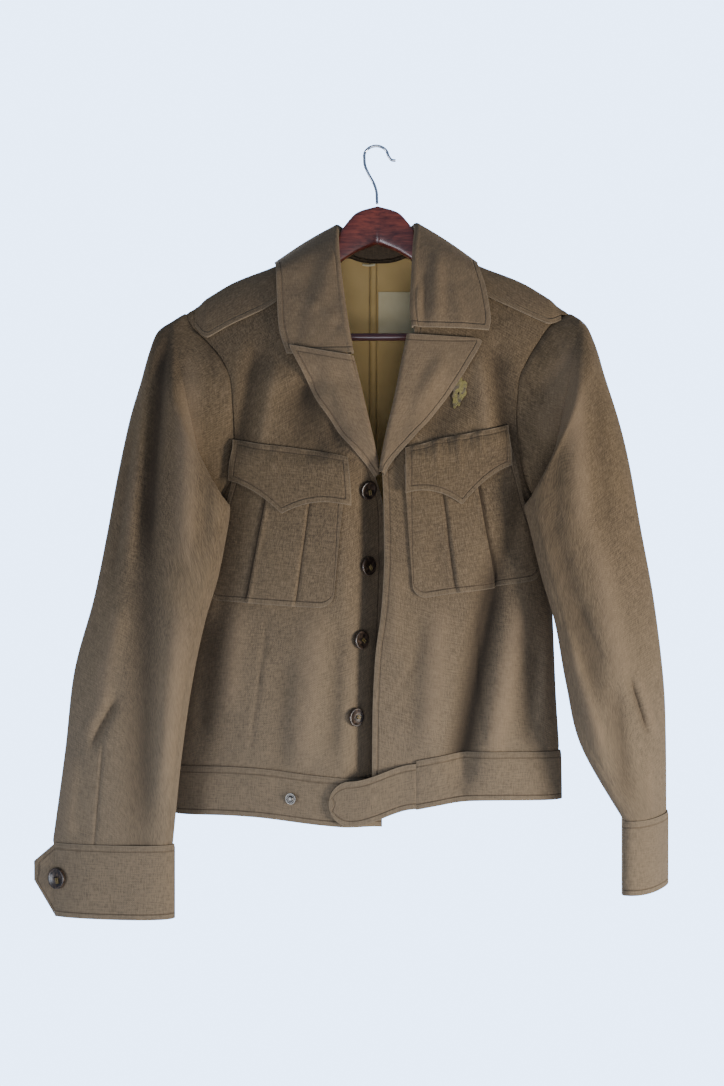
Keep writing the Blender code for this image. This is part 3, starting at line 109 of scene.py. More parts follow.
frontEdges = {
    # height, x of the lapel's roll, and below it of the front edge
    "rightRoll": [(-0.358, 0.0000), (-0.326, -0.0064), (-0.283, -0.0171), (-0.196, -0.0353),
                  (-0.139, -0.0431), (-0.092, -0.0467)],
    "leftRoll": [(-0.358, 0.0040), (-0.315, 0.0127), (-0.261, 0.0235), (-0.1855, 0.0362),
                 (-0.139, 0.0388), (-0.088, 0.0413)],
    "rightEdge": [(-0.690, 0.0040), (-0.560, 0.0080), (-0.450, 0.0120), (-0.400, 0.0110),
                  (-0.358, 0.0000)],
    "leftEdge": [(-0.690, -0.0065), (-0.620, -0.0060), (-0.559, -0.0033), (-0.500, 0.0040),
                 (-0.450, 0.0064), (-0.390, 0.0055), (-0.358, 0.0040)],
    "rollEndZ": -0.358,
    "cover": 0.005,
    "neckCover": 0.005,
    "neckCoverZ": (-0.130, -0.102),
    # the right front falls back behind the left one
    "sink": 0.030,
    "sinkX": (-0.040, 0.005),
    "sinkZ": (-0.320, -0.400),
}

waistSeam = {
    # x, height
    "front_right": [(-0.2185, -0.6755), (-0.1640, -0.6740), (-0.1340, -0.6750),
                    (-0.0600, -0.6830), (0.0120, -0.6890)],
    "front_left": [(-0.0070, -0.6800), (0.0370, -0.6670), (0.1100, -0.6575), (0.1975, -0.6600)],
    "back": [(-0.2185, -0.6755), (0.0000, -0.6700), (0.1975, -0.6600)],
}

# Creases of the panels: from x, z to x, z, height out of the cloth, half width, and how much
# wider the crease is on its other side.
bodyCreases = {
    "front_right": [
        (-0.118, -0.520, -0.135, -0.650, -0.0016, 0.0022, 1.0),
        (-0.064, -0.510, -0.080, -0.670, 0.0040, 0.014, 1.4),
        (-0.040, -0.520, -0.050, -0.660, -0.0030, 0.010, 1.0),
        (-0.098, -0.560, -0.104, -0.680, -0.0028, 0.010, 1.5),
        (-0.150, -0.505, -0.160, -0.610, 0.0034, 0.013, 1.0),
        (-0.176, -0.520, -0.188, -0.640, -0.0040, 0.010, 1.2),
        (-0.150, -0.345, -0.128, -0.225, -0.0070, 0.010, 1.4),
        (-0.126, -0.335, -0.112, -0.250, 0.0030, 0.011, 1.0),
        (-0.090, -0.330, -0.075, -0.255, -0.0030, 0.012, 1.2),
        (-0.050, -0.345, -0.062, -0.270, 0.0024, 0.009, 1.0),
        (-0.190, -0.430, -0.178, -0.520, 0.0030, 0.010, 1.0),
        (-0.078, -0.262, -0.042, -0.335, -0.0085, 0.018, 1.7),
    ],
    "front_left": [
        (0.104, -0.515, 0.114, -0.648, -0.0018, 0.0024, 1.0),
        (0.128, -0.450, 0.083, -0.705, -0.0150, 0.013, 1.3),
        (0.152, -0.500, 0.122, -0.665, 0.0050, 0.014, 1.0),
        (0.066, -0.500, 0.054, -0.650, 0.0036, 0.013, 1.2),
        (0.044, -0.520, 0.034, -0.640, -0.0022, 0.009, 1.0),
        (0.020, -0.455, 0.016, -0.560, 0.0020, 0.009, 1.0),
        (0.016, -0.600, 0.040, -0.560, -0.0012, 0.0045, 1.4),
        (0.012, -0.628, 0.034, -0.596, -0.0011, 0.0040, 1.3),
        (0.170, -0.545, 0.160, -0.645, -0.0034, 0.011, 1.0),
        (0.186, -0.500, 0.178, -0.620, 0.0030, 0.009, 1.0),
        (0.137, -0.335, 0.122, -0.225, -0.0075, 0.010, 1.5),
        (0.117, -0.325, 0.108, -0.235, 0.0034, 0.010, 1.0),
        (0.150, -0.370, 0.140, -0.450, -0.0040, 0.011, 1.0),
        (0.060, -0.420, 0.070, -0.480, -0.0020, 0.011, 1.0),
        (0.086, -0.270, 0.055, -0.322, -0.0060, 0.018, 1.0),
    ],
    "back": [
        (-0.090, -0.560, -0.086, -0.668, -0.0034, 0.0050, 1.0),
        (0.086, -0.560, 0.082, -0.664, -0.0034, 0.0050, 1.0),
        (-0.130, -0.330, -0.070, -0.560, 0.0060, 0.020, 1.3),
        (0.135, -0.350, 0.060, -0.580, 0.0064, 0.018, 0.8),
        (-0.160, -0.360, -0.120, -0.500, -0.0050, 0.013, 1.2),
        (0.165, -0.380, 0.110, -0.520, -0.0050, 0.012, 1.3),
        (0.012, -0.280, -0.012, -0.630, -0.0040, 0.020, 1.5),
        (-0.036, -0.420, -0.030, -0.640, 0.0040, 0.014, 1.0),
        (0.040, -0.460, 0.046, -0.650, 0.0036, 0.012, 1.2),
        (-0.110, -0.590, -0.050, -0.640, -0.0026, 0.009, 1.5),
        (0.060, -0.200, 0.110, -0.260, -0.0026, 0.012, 1.2),
        (-0.065, -0.205, -0.115, -0.255, -0.0024, 0.011, 1.4),
    ],
}


def smoothThrough(rows, key, column):
    # a curve of the key column that runs smoothly through another column
    rows = sorted(rows, key=lambda row: row[key])
    at = np.array([row[key] for row in rows])
    to = np.array([row[column] for row in rows])
    rise = np.diff(to) / np.diff(at)
    inner = [0.0 if a * b <= 0 else 2 * a * b / (a + b) for a, b in zip(rise, rise[1:])]
    slope = np.array([rise[0], *inner, rise[-1]])

    def curve(x):
        x = np.clip(x, at[0], at[-1])
        i = np.clip(np.searchsorted(at, x, side="right") - 1, 0, len(at) - 2)
        step = at[i + 1] - at[i]
        t = (x - at[i]) / step
        start = to[i] * (1 + 2 * t) + slope[i] * step * t
        end = to[i + 1] * (3 - 2 * t) + slope[i + 1] * step * (t - 1)
        return start * (1 - t) ** 2 + end * t * t

    return curve


def stepBetween(low, high, x):
    # 0 before low, 1 past high, an S between
    t = np.clip((x - low) / (high - low), 0.0, 1.0)
    return t * t * (3 - 2 * t)


def lerp(a, b, t):
    return a + (b - a) * t


def signedPower(value, power):
    return np.sign(value) * np.abs(value) ** power


rightWidth, leftWidth, frontDepth, backDepth, sideDepth = (
    smoothThrough(bodyForm["sections"], 0, column) for column in range(1, 6))
shoulderZ = smoothThrough(bodyForm["shoulderLine"], 0, 1)
armholeX = {name: smoothThrough(bodyForm["armhole"], 0, column) for column, name in
            enumerate(("right_front", "left_front", "right_back", "left_back"), 1)}
waistZ = {panel: smoothThrough(waistSeam[panel], 0, 1) for panel in waistSeam}
edgeX = {name: smoothThrough(frontEdges[name], 0, 1)
         for name in ("rightRoll", "leftRoll", "rightEdge", "leftEdge")}


def halfWidth(x, z):
    return np.where(x < 0, rightWidth(z), leftWidth(z))


def shoulderY(x):
    reach = bodyForm["reach"]
    return -bodyForm["sweep"] * (np.minimum(np.abs(x), reach) / reach) ** 1.6


def panelTop(x, back):
    # y and z of the shoulder line, or of the back neck between the neck points
    half = bodyForm["neckHalf"]
    t = np.minimum(np.abs(x) / half, 1.0)
    neck = np.logical_and(back, t < 1.0)
    z = np.where(neck, lerp(bodyForm["backNeckZ"], shoulderZ(half), t ** 2.5),
                 shoulderZ(np.abs(x)))
    y = np.where(neck, lerp(shoulderY(half), bodyForm["backNeckY"], np.sqrt(1 - t * t)),
                 shoulderY(x))
    return y, z


def creaseHeight(creases, x, z):
    total = np.zeros(np.broadcast(x, z).shape)
    for x0, z0, x1, z1, height, width, lean in creases:
        length = math.hypot(x1 - x0, z1 - z0)
        alongX, alongZ = (x1 - x0) / length, (z1 - z0) / length
        run = ((x - x0) * alongX + (z - z0) * alongZ) / length
        across = (x - x0) * alongZ - (z - z0) * alongX
        wide = np.where(across > 0, width * lean, width)
        ends = stepBetween(-0.15, 0.2, run) * stepBetween(1.15, 0.8, run)
        total += height * ends * np.exp(-((across / wide) ** 2))
    return total


def bodyPoint(panel, x, root):
    # a point of a panel's inner face; root is the signed square root of the drop below the
    # shoulder line, positive in front and negative behind
    x, root = np.broadcast_arrays(np.asarray(x, float), np.asarray(root, float))
    back = root < 0
    topY, topZ = panelTop(x, back)
    drop = root * root
    z = topZ - drop
    power = bodyForm["squareness"]
    across = np.maximum(1 - (np.abs(x) / halfWidth(x, z)) ** power, 0.0) ** (1 / power)
    y = lerp(sideDepth(z), np.where(back, backDepth(z), frontDepth(z)), across)
    if panel == "front_right":
        sunk = stepBetween(*frontEdges["sinkX"], x) * stepBetween(*frontEdges["sinkZ"], z)
        y = y + frontEdges["sink"] * sunk
    over = np.minimum(drop / bodyForm["shoulderRound"], 1.0)
    y = lerp(topY, y, np.sqrt(1 - (1 - over) ** 2))
    out = creaseHeight(bodyCreases[panel], x, z)
    return np.stack([x, np.where(back, y + out, y - out), z], axis=-1)


def unit(vectors):
    return vectors / np.maximum(np.linalg.norm(vectors, axis=-1, keepdims=True), 1e-12)


def laidOver(panel, x, root, lift):
    # the panel's point moved out by lift
    small = 0.0004
    across = bodyPoint(panel, x + small, root) - bodyPoint(panel, x - small, root)
    down = bodyPoint(panel, x, root + small) - bodyPoint(panel, x, root - small)
    return bodyPoint(panel, x, root) - unit(np.cross(across, down)) * np.asarray(lift)[..., None]


def laid(panel, x, z, lift):
    x, z, lift = np.broadcast_arrays(*(np.asarray(part, float) for part in (x, z, lift)))
    topZ = panelTop(x, panel == "back")[1]
    root = np.sqrt(np.maximum(topZ - z, 0.0))
    return laidOver(panel, x, -root if panel == "back" else root, lift)


def splineRows(table, place):
    # rows at places along a table's rows, on smooth curves through them
    table = np.asarray(table, float)
    i = np.clip(place.astype(int), 0, len(table) - 2)
    t = (place - i).reshape(*place.shape, *[1] * (table.ndim - 1))
    before, a, b = table[np.maximum(i - 1, 0)], table[i], table[i + 1]
    after = table[np.minimum(i + 2, len(table) - 1)]
    bend = (b - before) * t * (1 - t) ** 2 / 2 - (after - a) * t * t * (1 - t) / 2
    return lerp(a, b, t * t * (3 - 2 * t)) + bend


def smoothRows(table, count):
    return splineRows(table, np.linspace(0, len(table) - 1, count + 1))


def spacing(count, extra=()):
    # even places from 0 to 1, with more where an edge or a fold needs them
    places = np.concatenate([np.linspace(0, 1, count + 1), np.asarray(extra, float)])
    places = np.sort(places[(places >= 0) & (places <= 1)])
    keep = np.concatenate([[True], np.diff(places) > 1e-4])
    return places[keep]


def gaussian(x, middle, width):
    return np.exp(-(((x - middle) / width) ** 2))


def runFrom(points, axis):
    # distance run along the grid from its first row or column
    steps = np.linalg.norm(np.diff(points, axis=axis), axis=-1)
    first = np.zeros_like(np.take(steps, [0], axis=axis))
    return np.cumsum(np.concatenate([first, steps], axis=axis), axis=axis)


def sideDistances(points):
    across, down = runFrom(points, 1), runFrom(points, 0)
    return {"left": across, "right": across[:, -1:] - across,
            "top": down, "bottom": down[-1:] - down}


def facing(points, outward):
    # the grid's normals, on the side that outward points to at the grid's middle
    normals = unit(np.cross(np.gradient(points, axis=1), np.gradient(points, axis=0)))
    middle = normals[points.shape[0] // 2, points.shape[1] // 2]
    return normals if float(middle @ np.array(outward, float)) > 0 else -normals


def sunkSeams(points, outward, sides):
    distances = sideDistances(points)
    nearest = np.min([distances[side] for side in sides], axis=0)
    sunk = bodyForm["sunkDepth"] * gaussian(nearest, 0.0, bodyForm["sunkWidth"])
    return points - facing(points, outward) * sunk[..., None]


def creased(points, creases, outward):
    # the folds of a piece that lies on another
    out = creaseHeight(creases, points[..., 0], points[..., 2])
    return points + facing(points, outward) * out[..., None]


def foldDepth(creases, points):
    return creaseHeight(creases, points[..., 0], points[..., 2]) / bodyForm["foldUnit"]


def meshOf(name, points, outward):
    rows, columns = points.shape[:2]
    index = np.arange(rows * columns).reshape(rows, columns)
    faces = np.stack([index[:-1, :-1], index[:-1, 1:], index[1:, 1:], index[1:, :-1]],
                     axis=-1).reshape(-1, 4)
    natural = np.cross(points[rows // 2, columns // 2] - points[rows // 2, columns // 2 - 1],
                       points[rows // 2, columns // 2] - points[rows // 2 - 1, columns // 2])
    if float(natural @ np.array(outward, float)) < 0:
        faces = faces[:, ::-1]
    mesh = bpy.data.meshes.new(name)
    mesh.from_pydata(points.reshape(-1, 3).tolist(), [], faces.tolist())
    mesh.update()
    return mesh


def addClothMaps(mesh, points, stitched, folds):
    # UVs in metres for the weave and the stitching, and how far each place stands out, in folds
    # of 5 mm, from which the wool paints shade in hollows and a highlight on ridges
    distances = sideDistances(points)
    across, down = distances["left"], distances["top"]
    middle = points.shape[1] // 2
    weave = np.stack([across - across[:, middle:middle + 1], down], axis=-1)
    fromEdge, alongEdge = np.full(points.shape[:2], 1.0), down
    if stitched:
        choices = np.stack([distances[side] for side in stitched])
        runs = np.stack([down if side in ("left", "right") else across for side in stitched])
        nearest = np.argmin(choices, axis=0)[None]
        fromEdge, alongEdge = (np.take_along_axis(part, nearest, 0)[0] for part in (choices, runs))
    corners = np.zeros(len(mesh.loops), dtype=np.int32)
    mesh.loops.foreach_get("vertex_index", corners)
    for layerName, values in (("weave", weave),
                              ("stitching", np.stack([fromEdge, alongEdge], axis=-1))):
        layer = mesh.uv_layers.new(name=layerName)
        layer.data.foreach_set("uv", values.reshape(-1, 2)[corners].astype(np.float32).ravel())
    depth = np.clip(np.broadcast_to(folds, points.shape[:2]), deepestFold, 1.0)
    folded = mesh.attributes.new("folds", "FLOAT", "POINT")
    folded.data.foreach_set("value", depth.astype(np.float32).ravel())


def makeCloth(name, node, points, outward, size="single",
              stitched=(), folds=0.0, finish=None):
    # a sewn piece: a wall on the grid of points
    mesh = meshOf(name, points, outward)
    addClothMaps(mesh, points, stitched, folds)
    mesh.shade_smooth()
    mesh.materials.append(finish or woolSerge)
    piece = bpy.data.objects.new(name, mesh)
    bpy.context.scene.collection.objects.link(piece)
    wall = piece.modifiers.new("wall", "SOLIDIFY")
    wall.thickness, wall.offset, wall.use_quality_normals = clothSizes[size], 1.0, True
    rim = piece.modifiers.new("rim", "BEVEL")
    rim.width, rim.segments = rims[size], 2
    rim.limit_method, rim.angle_limit = "ANGLE", math.radians(50)
    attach(piece, "root")
    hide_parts(node)


# The body's panels.
def outerEdge(side, half):
    # the armhole, and below it the side seam
    width = rightWidth if side == "right" else leftWidth
    hole = armholeX[f"{side}_{half}"]
    return lambda z: sideSign[side] * np.where(z > bodyForm["armpitZ"], hole(z), width(z))


def innerEdge(side, z):
    # the lapel's roll, and below it the front edge
    cover = frontEdges["cover"] + frontEdges["neckCover"] * stepBetween(
        *frontEdges["neckCoverZ"], z)
    below = edgeX[f"{side}Edge"](z) - (frontEdges["cover"] if side == "right" else 0.0)
    return np.where(z > frontEdges["rollEndZ"],
                    edgeX[f"{side}Roll"](z) + sideSign[side] * cover, below)


def solveEdge(edge, top, foot, fraction):
    x = edge(np.full_like(fraction, -0.3))
    for _ in range(40):
        x = edge(lerp(top(x), foot(x), fraction))
    return x


def panelPoints(panel, inner, outer, columns, crowdInner):
    back, foot = panel == "back", waistZ[panel]

    def top(x):
        return panelTop(x, back)[1]

    fraction = spacing(bodyForm["rows"]) ** 1.5
    start = solveEdge(inner, top, foot, fraction)[:, None]
    end = solveEdge(outer, top, foot, fraction)[:, None]
    u = spacing(columns)[None, :]
    straight = lerp(start, end, u)
    level = lerp(top(straight), foot(straight), fraction[:, None])
    # below the armhole the columns crowd towards the side seams, where the section turns
    low = stepBetween(*bodyForm["crowdZ"], level)
    crowded = (1 - np.cos(u * math.pi)) / 2 if crowdInner else np.sin(u * math.pi / 2)
    x = lerp(start, end, lerp(u, crowded, low))
    drop = (top(x) - foot(x)) * fraction[:, None]
    root = np.maximum(np.sqrt(np.maximum(drop, 0.0)), 0.001)
    points = bodyPoint(panel, x, -root if back else root)
    side = sideDepth(points[..., 2])
    if back:
        held = np.maximum(points[..., 1], side + seamGap / 2)
        atSide = low > 0
    else:
        held = np.minimum(points[..., 1], side - seamGap / 2)
        atSide = (low > 0) & (np.arange(u.size) == u.size - 1)
    points[..., 1] = np.where(atSide, held, points[..., 1])
    return points


def withHem(points, outward):
    # the seam allowance that hangs inside the waistband
    hem = points[-1] + (0, -outward[1] * bodyForm["hemIn"], -bodyForm["allowance"])
    return np.concatenate([points, hem[None]])


def makePanels():
    frontSeams, backSeams = ("right", "bottom"), ("left", "right", "bottom")
    for name, panel, inner, outer, columns, crowdInner, outward, seams, edges, flat in (
            ("frontRight", "front_right", lambda z: innerEdge("right", z),
             outerEdge("right", "front"), 110, True, forwards, frontSeams, ("left",),
             (0.28, 0.60)),
            ("frontLeft", "front_left", lambda z: innerEdge("left", z),
             outerEdge("left", "front"), 110, False, forwards, frontSeams, ("left",),
             (0.28, 0.60)),
            ("backPanel", "back", outerEdge("right", "back"),
             outerEdge("left", "back"), 150, True, backwards, backSeams, (), (0.48, 0.60))):
        cut = panelPoints(panel, inner, outer, columns, crowdInner)
        makeCloth(name, panel, withHem(sunkSeams(cut, outward, seams), outward), outward,
                  stitched=edges,
                  folds=foldDepth(bodyCreases[panel], withHem(cut, outward)))


# Sleeves: outer end and inner end of each ring in the front view, and half its depth.
sleeves = {
    "right": [
        (0.2220, -0.030, -0.1965, 0.1800, -0.042, -0.3990, 0.036),
        (0.2368, -0.032, -0.2085, 0.1710, -0.057, -0.3970, 0.042),
        (0.2450, -0.034, -0.2320, 0.1630, -0.070, -0.3950, 0.044),
        (0.2530, -0.036, -0.2640, 0.1590, -0.079, -0.3960, 0.041),
        (0.2642, -0.038, -0.3043, 0.1590, -0.085, -0.4070, 0.038),
        (0.2767, -0.042, -0.3667, 0.1630, -0.089, -0.4320, 0.035),
        (0.2875, -0.046, -0.4267, 0.1710, -0.090, -0.4720, 0.032),
        (0.3014, -0.050, -0.4956, 0.1850, -0.090, -0.5200, 0.030),
        (0.3223, -0.052, -0.5719, 0.1985, -0.088, -0.5850, 0.029),
        (0.3325, -0.054, -0.6567, 0.2100, -0.084, -0.6650, 0.026),
        (0.3460, -0.056, -0.7530, 0.2190, -0.080, -0.7530, 0.021),
    ],
    "left": [
        (0.2180, -0.029, -0.1940, 0.1765, -0.044, -0.4030, 0.034),
        (0.2260, -0.030, -0.2040, 0.1690, -0.060, -0.4040, 0.040),
        (0.2345, -0.032, -0.2280, 0.1620, -0.072, -0.3950, 0.044),
        (0.2420, -0.034, -0.2560, 0.1570, -0.079, -0.3960, 0.041),
        (0.2571, -0.038, -0.3083, 0.1590, -0.085, -0.4070, 0.038),
        (0.2678, -0.040, -0.3560, 0.1650, -0.088, -0.4320, 0.035),
        (0.2790, -0.042, -0.4213, 0.1750, -0.088, -0.4720, 0.032),
        (0.2925, -0.042, -0.4959, 0.1890, -0.087, -0.5200, 0.030),
        (0.3035, -0.038, -0.5811, 0.2010, -0.085, -0.5850, 0.028),
        (0.3070, -0.022, -0.6450, 0.2170, -0.088, -0.6500, 0.025),
        (0.3080, 0.012, -0.7270, 0.2620, -0.094, -0.7270, 0.019),
    ],
    "squareness": 0.85,
    "innerFlat": 0.60,
    # angles from the outer end, forwards positive
    "topFrom": -1.95,
    "topTo": 2.85,
    "gap": 0.010,
    "seamRise": 0.55,
    "riseRun": 0.38,
    "stand": 0.0036,
    "allowance": 0.009,
    # how far the head's allowance is drawn in towards the armhole's middle, by axis
    "headIn": (0.04, 0.16, 0.03),
    "cuffIn": 0.0022,
    "headRun": 0.050,  # the share of the length over which the head eases into the armhole
    "rings": 130,
    "topColumns": 190,
    "underColumns": 64,
    # creases seen from the front, as on the panels
    "creases": {
        "right": [
            (-0.226, -0.205, -0.242, -0.440, -0.0130, 0.0090, 1.6),
            (-0.243, -0.228, -0.264, -0.455, 0.0050, 0.0080, 1.0),
            (-0.256, -0.300, -0.282, -0.480, -0.0036, 0.0060, 1.2),
            (-0.200, -0.240, -0.201, -0.450, 0.0050, 0.0130, 1.0),
            (-0.241, -0.420, -0.250, -0.745, -0.0080, 0.0150, 1.4),
            (-0.272, -0.500, -0.292, -0.600, 0.0036, 0.0110, 1.0),
            (-0.206, -0.500, -0.226, -0.700, 0.0040, 0.0110, 1.0),
            (-0.302, -0.648, -0.276, -0.600, -0.0052, 0.0034, 1.5),
            (-0.310, -0.640, -0.284, -0.590, 0.0030, 0.0060, 1.0),
            (-0.289, -0.640, -0.300, -0.760, -0.0016, 0.0016, 1.0),
            (-0.322, -0.660, -0.330, -0.745, 0.0026, 0.0070, 1.0),
            (-0.178, -0.222, -0.160, -0.250, -0.0050, 0.0030, 1.6),
            (-0.188, -0.206, -0.172, -0.262, -0.0040, 0.0036, 1.4),
            (-0.214, -0.200, -0.212, -0.262, -0.0030, 0.0040, 1.4),
            (-0.176, -0.330, -0.184, -0.440, -0.0034, 0.0090, 1.0),
        ],
        "left": [
            (0.197, -0.215, 0.176, -0.345, 0.0030, 0.0170, 1.0),
            (0.186, -0.330, 0.184, -0.430, -0.0040, 0.0110, 1.4),
            (0.205, -0.230, 0.214, -0.420, 0.0046, 0.0130, 1.0),
            (0.228, -0.250, 0.243, -0.440, -0.0030, 0.0100, 1.2),
            (0.186, -0.420, 0.232, -0.600, -0.0060, 0.0120, 1.3),
            (0.226, -0.420, 0.262, -0.590, 0.0040, 0.0130, 1.0),
            (0.198, -0.530, 0.238, -0.655, 0.0046, 0.0060, 1.3),
            (0.212, -0.500, 0.236, -0.560, -0.0024, 0.0050, 1.4),
            (0.250, -0.590, 0.262, -0.700, -0.0050, 0.0090, 1.3),
            (0.265, -0.576, 0.286, -0.636, -0.0044, 0.0030, 1.6),
            (0.275, -0.575, 0.297, -0.640, 0.0030, 0.0050, 1.0),
            (0.168, -0.215, 0.180, -0.245, -0.0044, 0.0034, 1.4),
            (0.178, -0.205, 0.192, -0.240, -0.0036, 0.0036, 1.3),
            (0.156, -0.262, 0.176, -0.285, -0.0034, 0.0044, 1.5),
            (0.152, -0.300, 0.170, -0.330, -0.0030, 0.0050, 1.5),
            (0.288, -0.660, 0.290, -0.720, 0.0024, 0.0060, 1.0),
        ],
    },
    # creases of the rear half
    "rearCreases": {
        "right": [
            (-0.235, -0.260, -0.262, -0.460, -0.0060, 0.0120, 1.3),
            (-0.214, -0.300, -0.226, -0.480, 0.0040, 0.0110, 1.0),
            (-0.290, -0.470, -0.270, -0.560, -0.0046, 0.0080, 1.5),
            (-0.250, -0.560, -0.272, -0.740, -0.0050, 0.0120, 1.2),
            (-0.302, -0.560, -0.312, -0.700, 0.0034, 0.0110, 1.0),
        ],
        "left": [
            (0.224, -0.250, 0.246, -0.440, -0.0060, 0.0120, 1.3),
            (0.205, -0.300, 0.214, -0.470, 0.0040, 0.0100, 1.0),
            (0.272, -0.460, 0.250, -0.540, -0.0046, 0.0080, 1.5),
            (0.242, -0.560, 0.270, -0.690, -0.0050, 0.0110, 1.2),
            (0.284, -0.560, 0.292, -0.680, 0.0034, 0.0100, 1.0),
        ],
    },
}


def sleeveRings(side, share):
    # ring rows at shares of the way down a sleeve
    table = np.array(sleeves[side])
    table[:, [0, 3]] *= sideSign[side]
    return splineRows(table, np.asarray(share, float) * (len(table) - 1))


def ringPoint(ring, angle, grow=0.0):
    # 0 is the ring's outer end, pi / 2 its front and pi its inner end
    outer, inner, deep = ring[..., 0:3], ring[..., 3:6], ring[..., 6]
    middle = (outer + inner) / 2
    half = np.linalg.norm(outer - middle, axis=-1)
    reach = (outer - middle) / half[..., None]
    behind = unit(np.array([0.0, 1.0, 0.0]) - reach[..., 1:2] * reach)
    along = signedPower(np.cos(angle), sleeves["squareness"]) * (half + grow)
    across = signedPower(np.sin(angle), sleeves["squareness"]) * (deep + grow)
    flat = 1 - sleeves["innerFlat"] * np.sqrt(np.maximum(-np.cos(angle), 0.0))
    across = np.where((across < 0) & (np.cos(angle) < 0), across * flat, across)
    return middle + reach * along[..., None] - behind * across[..., None]


def armholePoint(side, angle):
    # the armhole's edge, just clear of the panels
    sign = sideSign[side]
    low = (1 - np.cos(angle)) / 2
    z = lerp(shoulderZ(bodyForm["reach"]) + 0.0005, bodyForm["armpitZ"] + 0.002, low)
    front = np.sin(angle) >= 0
    x = sign * np.where(front, armholeX[f"{side}_front"](z), armholeX[f"{side}_back"](z))
    root = np.sqrt(np.maximum(panelTop(x, False)[1] - z, 0.0))
    points = np.where(front[..., None], bodyPoint(f"front_{side}", x, root),
                      bodyPoint("back", x, -root))
    points[..., 0] += sign * (5 * seamGap + sleeves["stand"] * stepBetween(0.25, 1.0, low))
    points[..., 2] -= 4 * seamGap * stepBetween(0.0, 0.05, low) * stepBetween(0.45, 0.2, low)
    return points


def sleevePoints(side, part):
    share = (spacing(sleeves["rings"], extra=(0.003, 0.006, 0.010, 0.014)) ** 1.1)[:, None]
    first = sleeves["topFrom"]
    last = sleeves["topTo"] - sleeves["seamRise"] * np.maximum(1 - share / sleeves["riseRun"], 0)
    if part == "under":
        first, last = last + sleeves["gap"], first + 2 * math.pi - sleeves["gap"]
    angle = lerp(first, last, spacing(sleeves[f"{part}Columns"])[None, :])
    headRun = sleeves["headRun"]
    rings = sleeveRings(side, np.maximum(share - headRun, 0.0) / (1 - headRun))
    points = ringPoint(np.broadcast_to(rings, (*angle.shape, 7)), angle)
    turned = np.sin(angle)
    for table, outwards in (("creases", stepBetween(0.0, 0.5, turned)),
                            ("rearCreases", -stepBetween(0.0, -0.5, turned))):
        out = creaseHeight(sleeves[table][side], points[..., 0], points[..., 2])
        points[..., 1] -= out * outwards
    ease = np.minimum(share / headRun, 1.0)[..., None]
    return lerp(armholePoint(side, angle), points, np.sin(ease * math.pi / 2))


def turnedIn(side, points):
    # seam allowances: the sleeve's head reaches in under the panels, its end into the cuff
    head, end, allowance = points[0], points[-1], sleeves["allowance"]
    centre = (head.min(axis=0) + head.max(axis=0)) / 2
    centre[2] = lerp(bodyForm["armpitZ"], float(shoulderZ(bodyForm["reach"])), 0.5)
    under = head + (centre - head) * sleeves["headIn"] - (sideSign[side] * allowance, 0, 0)
    ringMiddle = np.append(end[:, :2].mean(axis=0), 0.0)
    inwards = unit((ringMiddle - end) * (1, 1, 0))
    inside = end + inwards * sleeves["cuffIn"] - (0, 0, allowance)
    return np.concatenate([under[None], points, inside[None]])


def makeSleeves():
    for side, sign in sideSign.items():
        for part, outward, flat in (("top", forwards, (0.38, 0.66)),
                                    ("under", (-sign, 0.3, 0), (0.10, 0.56))):
            cut = sleevePoints(side, part)
            sewn = sunkSeams(cut, outward, ("left", "right", "top"))
            folds = 0.0
            if part == "top":
                folds = foldDepth(sleeves["creases"][side], turnedIn(side, cut))
            makeCloth(f"{part}Sleeve{side.title()}", f"{part}_sleeve_{side}",
                      turnedIn(side, sewn), outward, folds=folds)


cuffs = {
    "height": 0.078,
    "out": 0.0016,
    "frontFrom": 0.50,
    "backTo": 5.95,
    "tab": 0.024,
    "tipShare": 0.36,
    "tipHeight": 0.100,
    "tipBlunt": 0.82,  # 1 would bring the tab to a sharp point
    "tabShare": 0.22,
    "buttonRadius": 0.0113,
    "buttonDrop": 1.36,  # down the cuff, by the tip's place
    "buttonRun": (0.0223, 0.0279),  # past the tab's root; the second gives its direction
}


def cuffPath(side, run):
    # a cuff's line: run 0 is the tab's tip, tabShare its root, then round the sleeve's end
    ring = sleeveRings(side, np.array(1.0))
    run = np.asarray(run, float)
    tab = cuffs["tabShare"]
    share = np.maximum(run - tab, 0.0) / (1 - tab)
    angle = lerp(cuffs["frontFrom"], cuffs["backTo"], share)
    points = ringPoint(np.broadcast_to(ring, (*run.shape, 7)), angle, cuffs["out"])
    root, nearer = (ringPoint(ring[None], np.array([cuffs["frontFrom"] + step]), cuffs["out"])[0]
                    for step in (0.0, 0.35))
    outwards = unit((root - nearer) * np.array([1.0, 0.3, 0.0]))
    past = np.maximum(1 - run / tab, 0.0)
    return points + outwards * (cuffs["tab"] * past)[..., None], past


def makeCuffs():
    for side in sideSign:
        top = sleeveRings(side, np.array(1.0))[2] - seamGap * 3
        line, past = cuffPath(side, spacing(170, extra=(0.002, 0.004)))
        level = spacing(44, extra=(0.01, 0.99))[:, None]
        tip = cuffs["tipShare"] + cuffs["tipHeight"] * (level - 0.5)
        share = lerp(level, tip, cuffs["tipBlunt"] * past)
        cut = np.broadcast_to(line, (*share.shape, 3)).copy()
        cut[..., 2] = top - cuffs["height"] * share
        makeCloth(f"cuff{side.title()}", f"cuff_{side}",
                  sunkSeams(cut, forwards, ("top",)), forwards,
                  size="double", stitched=("top", "bottom", "left"))


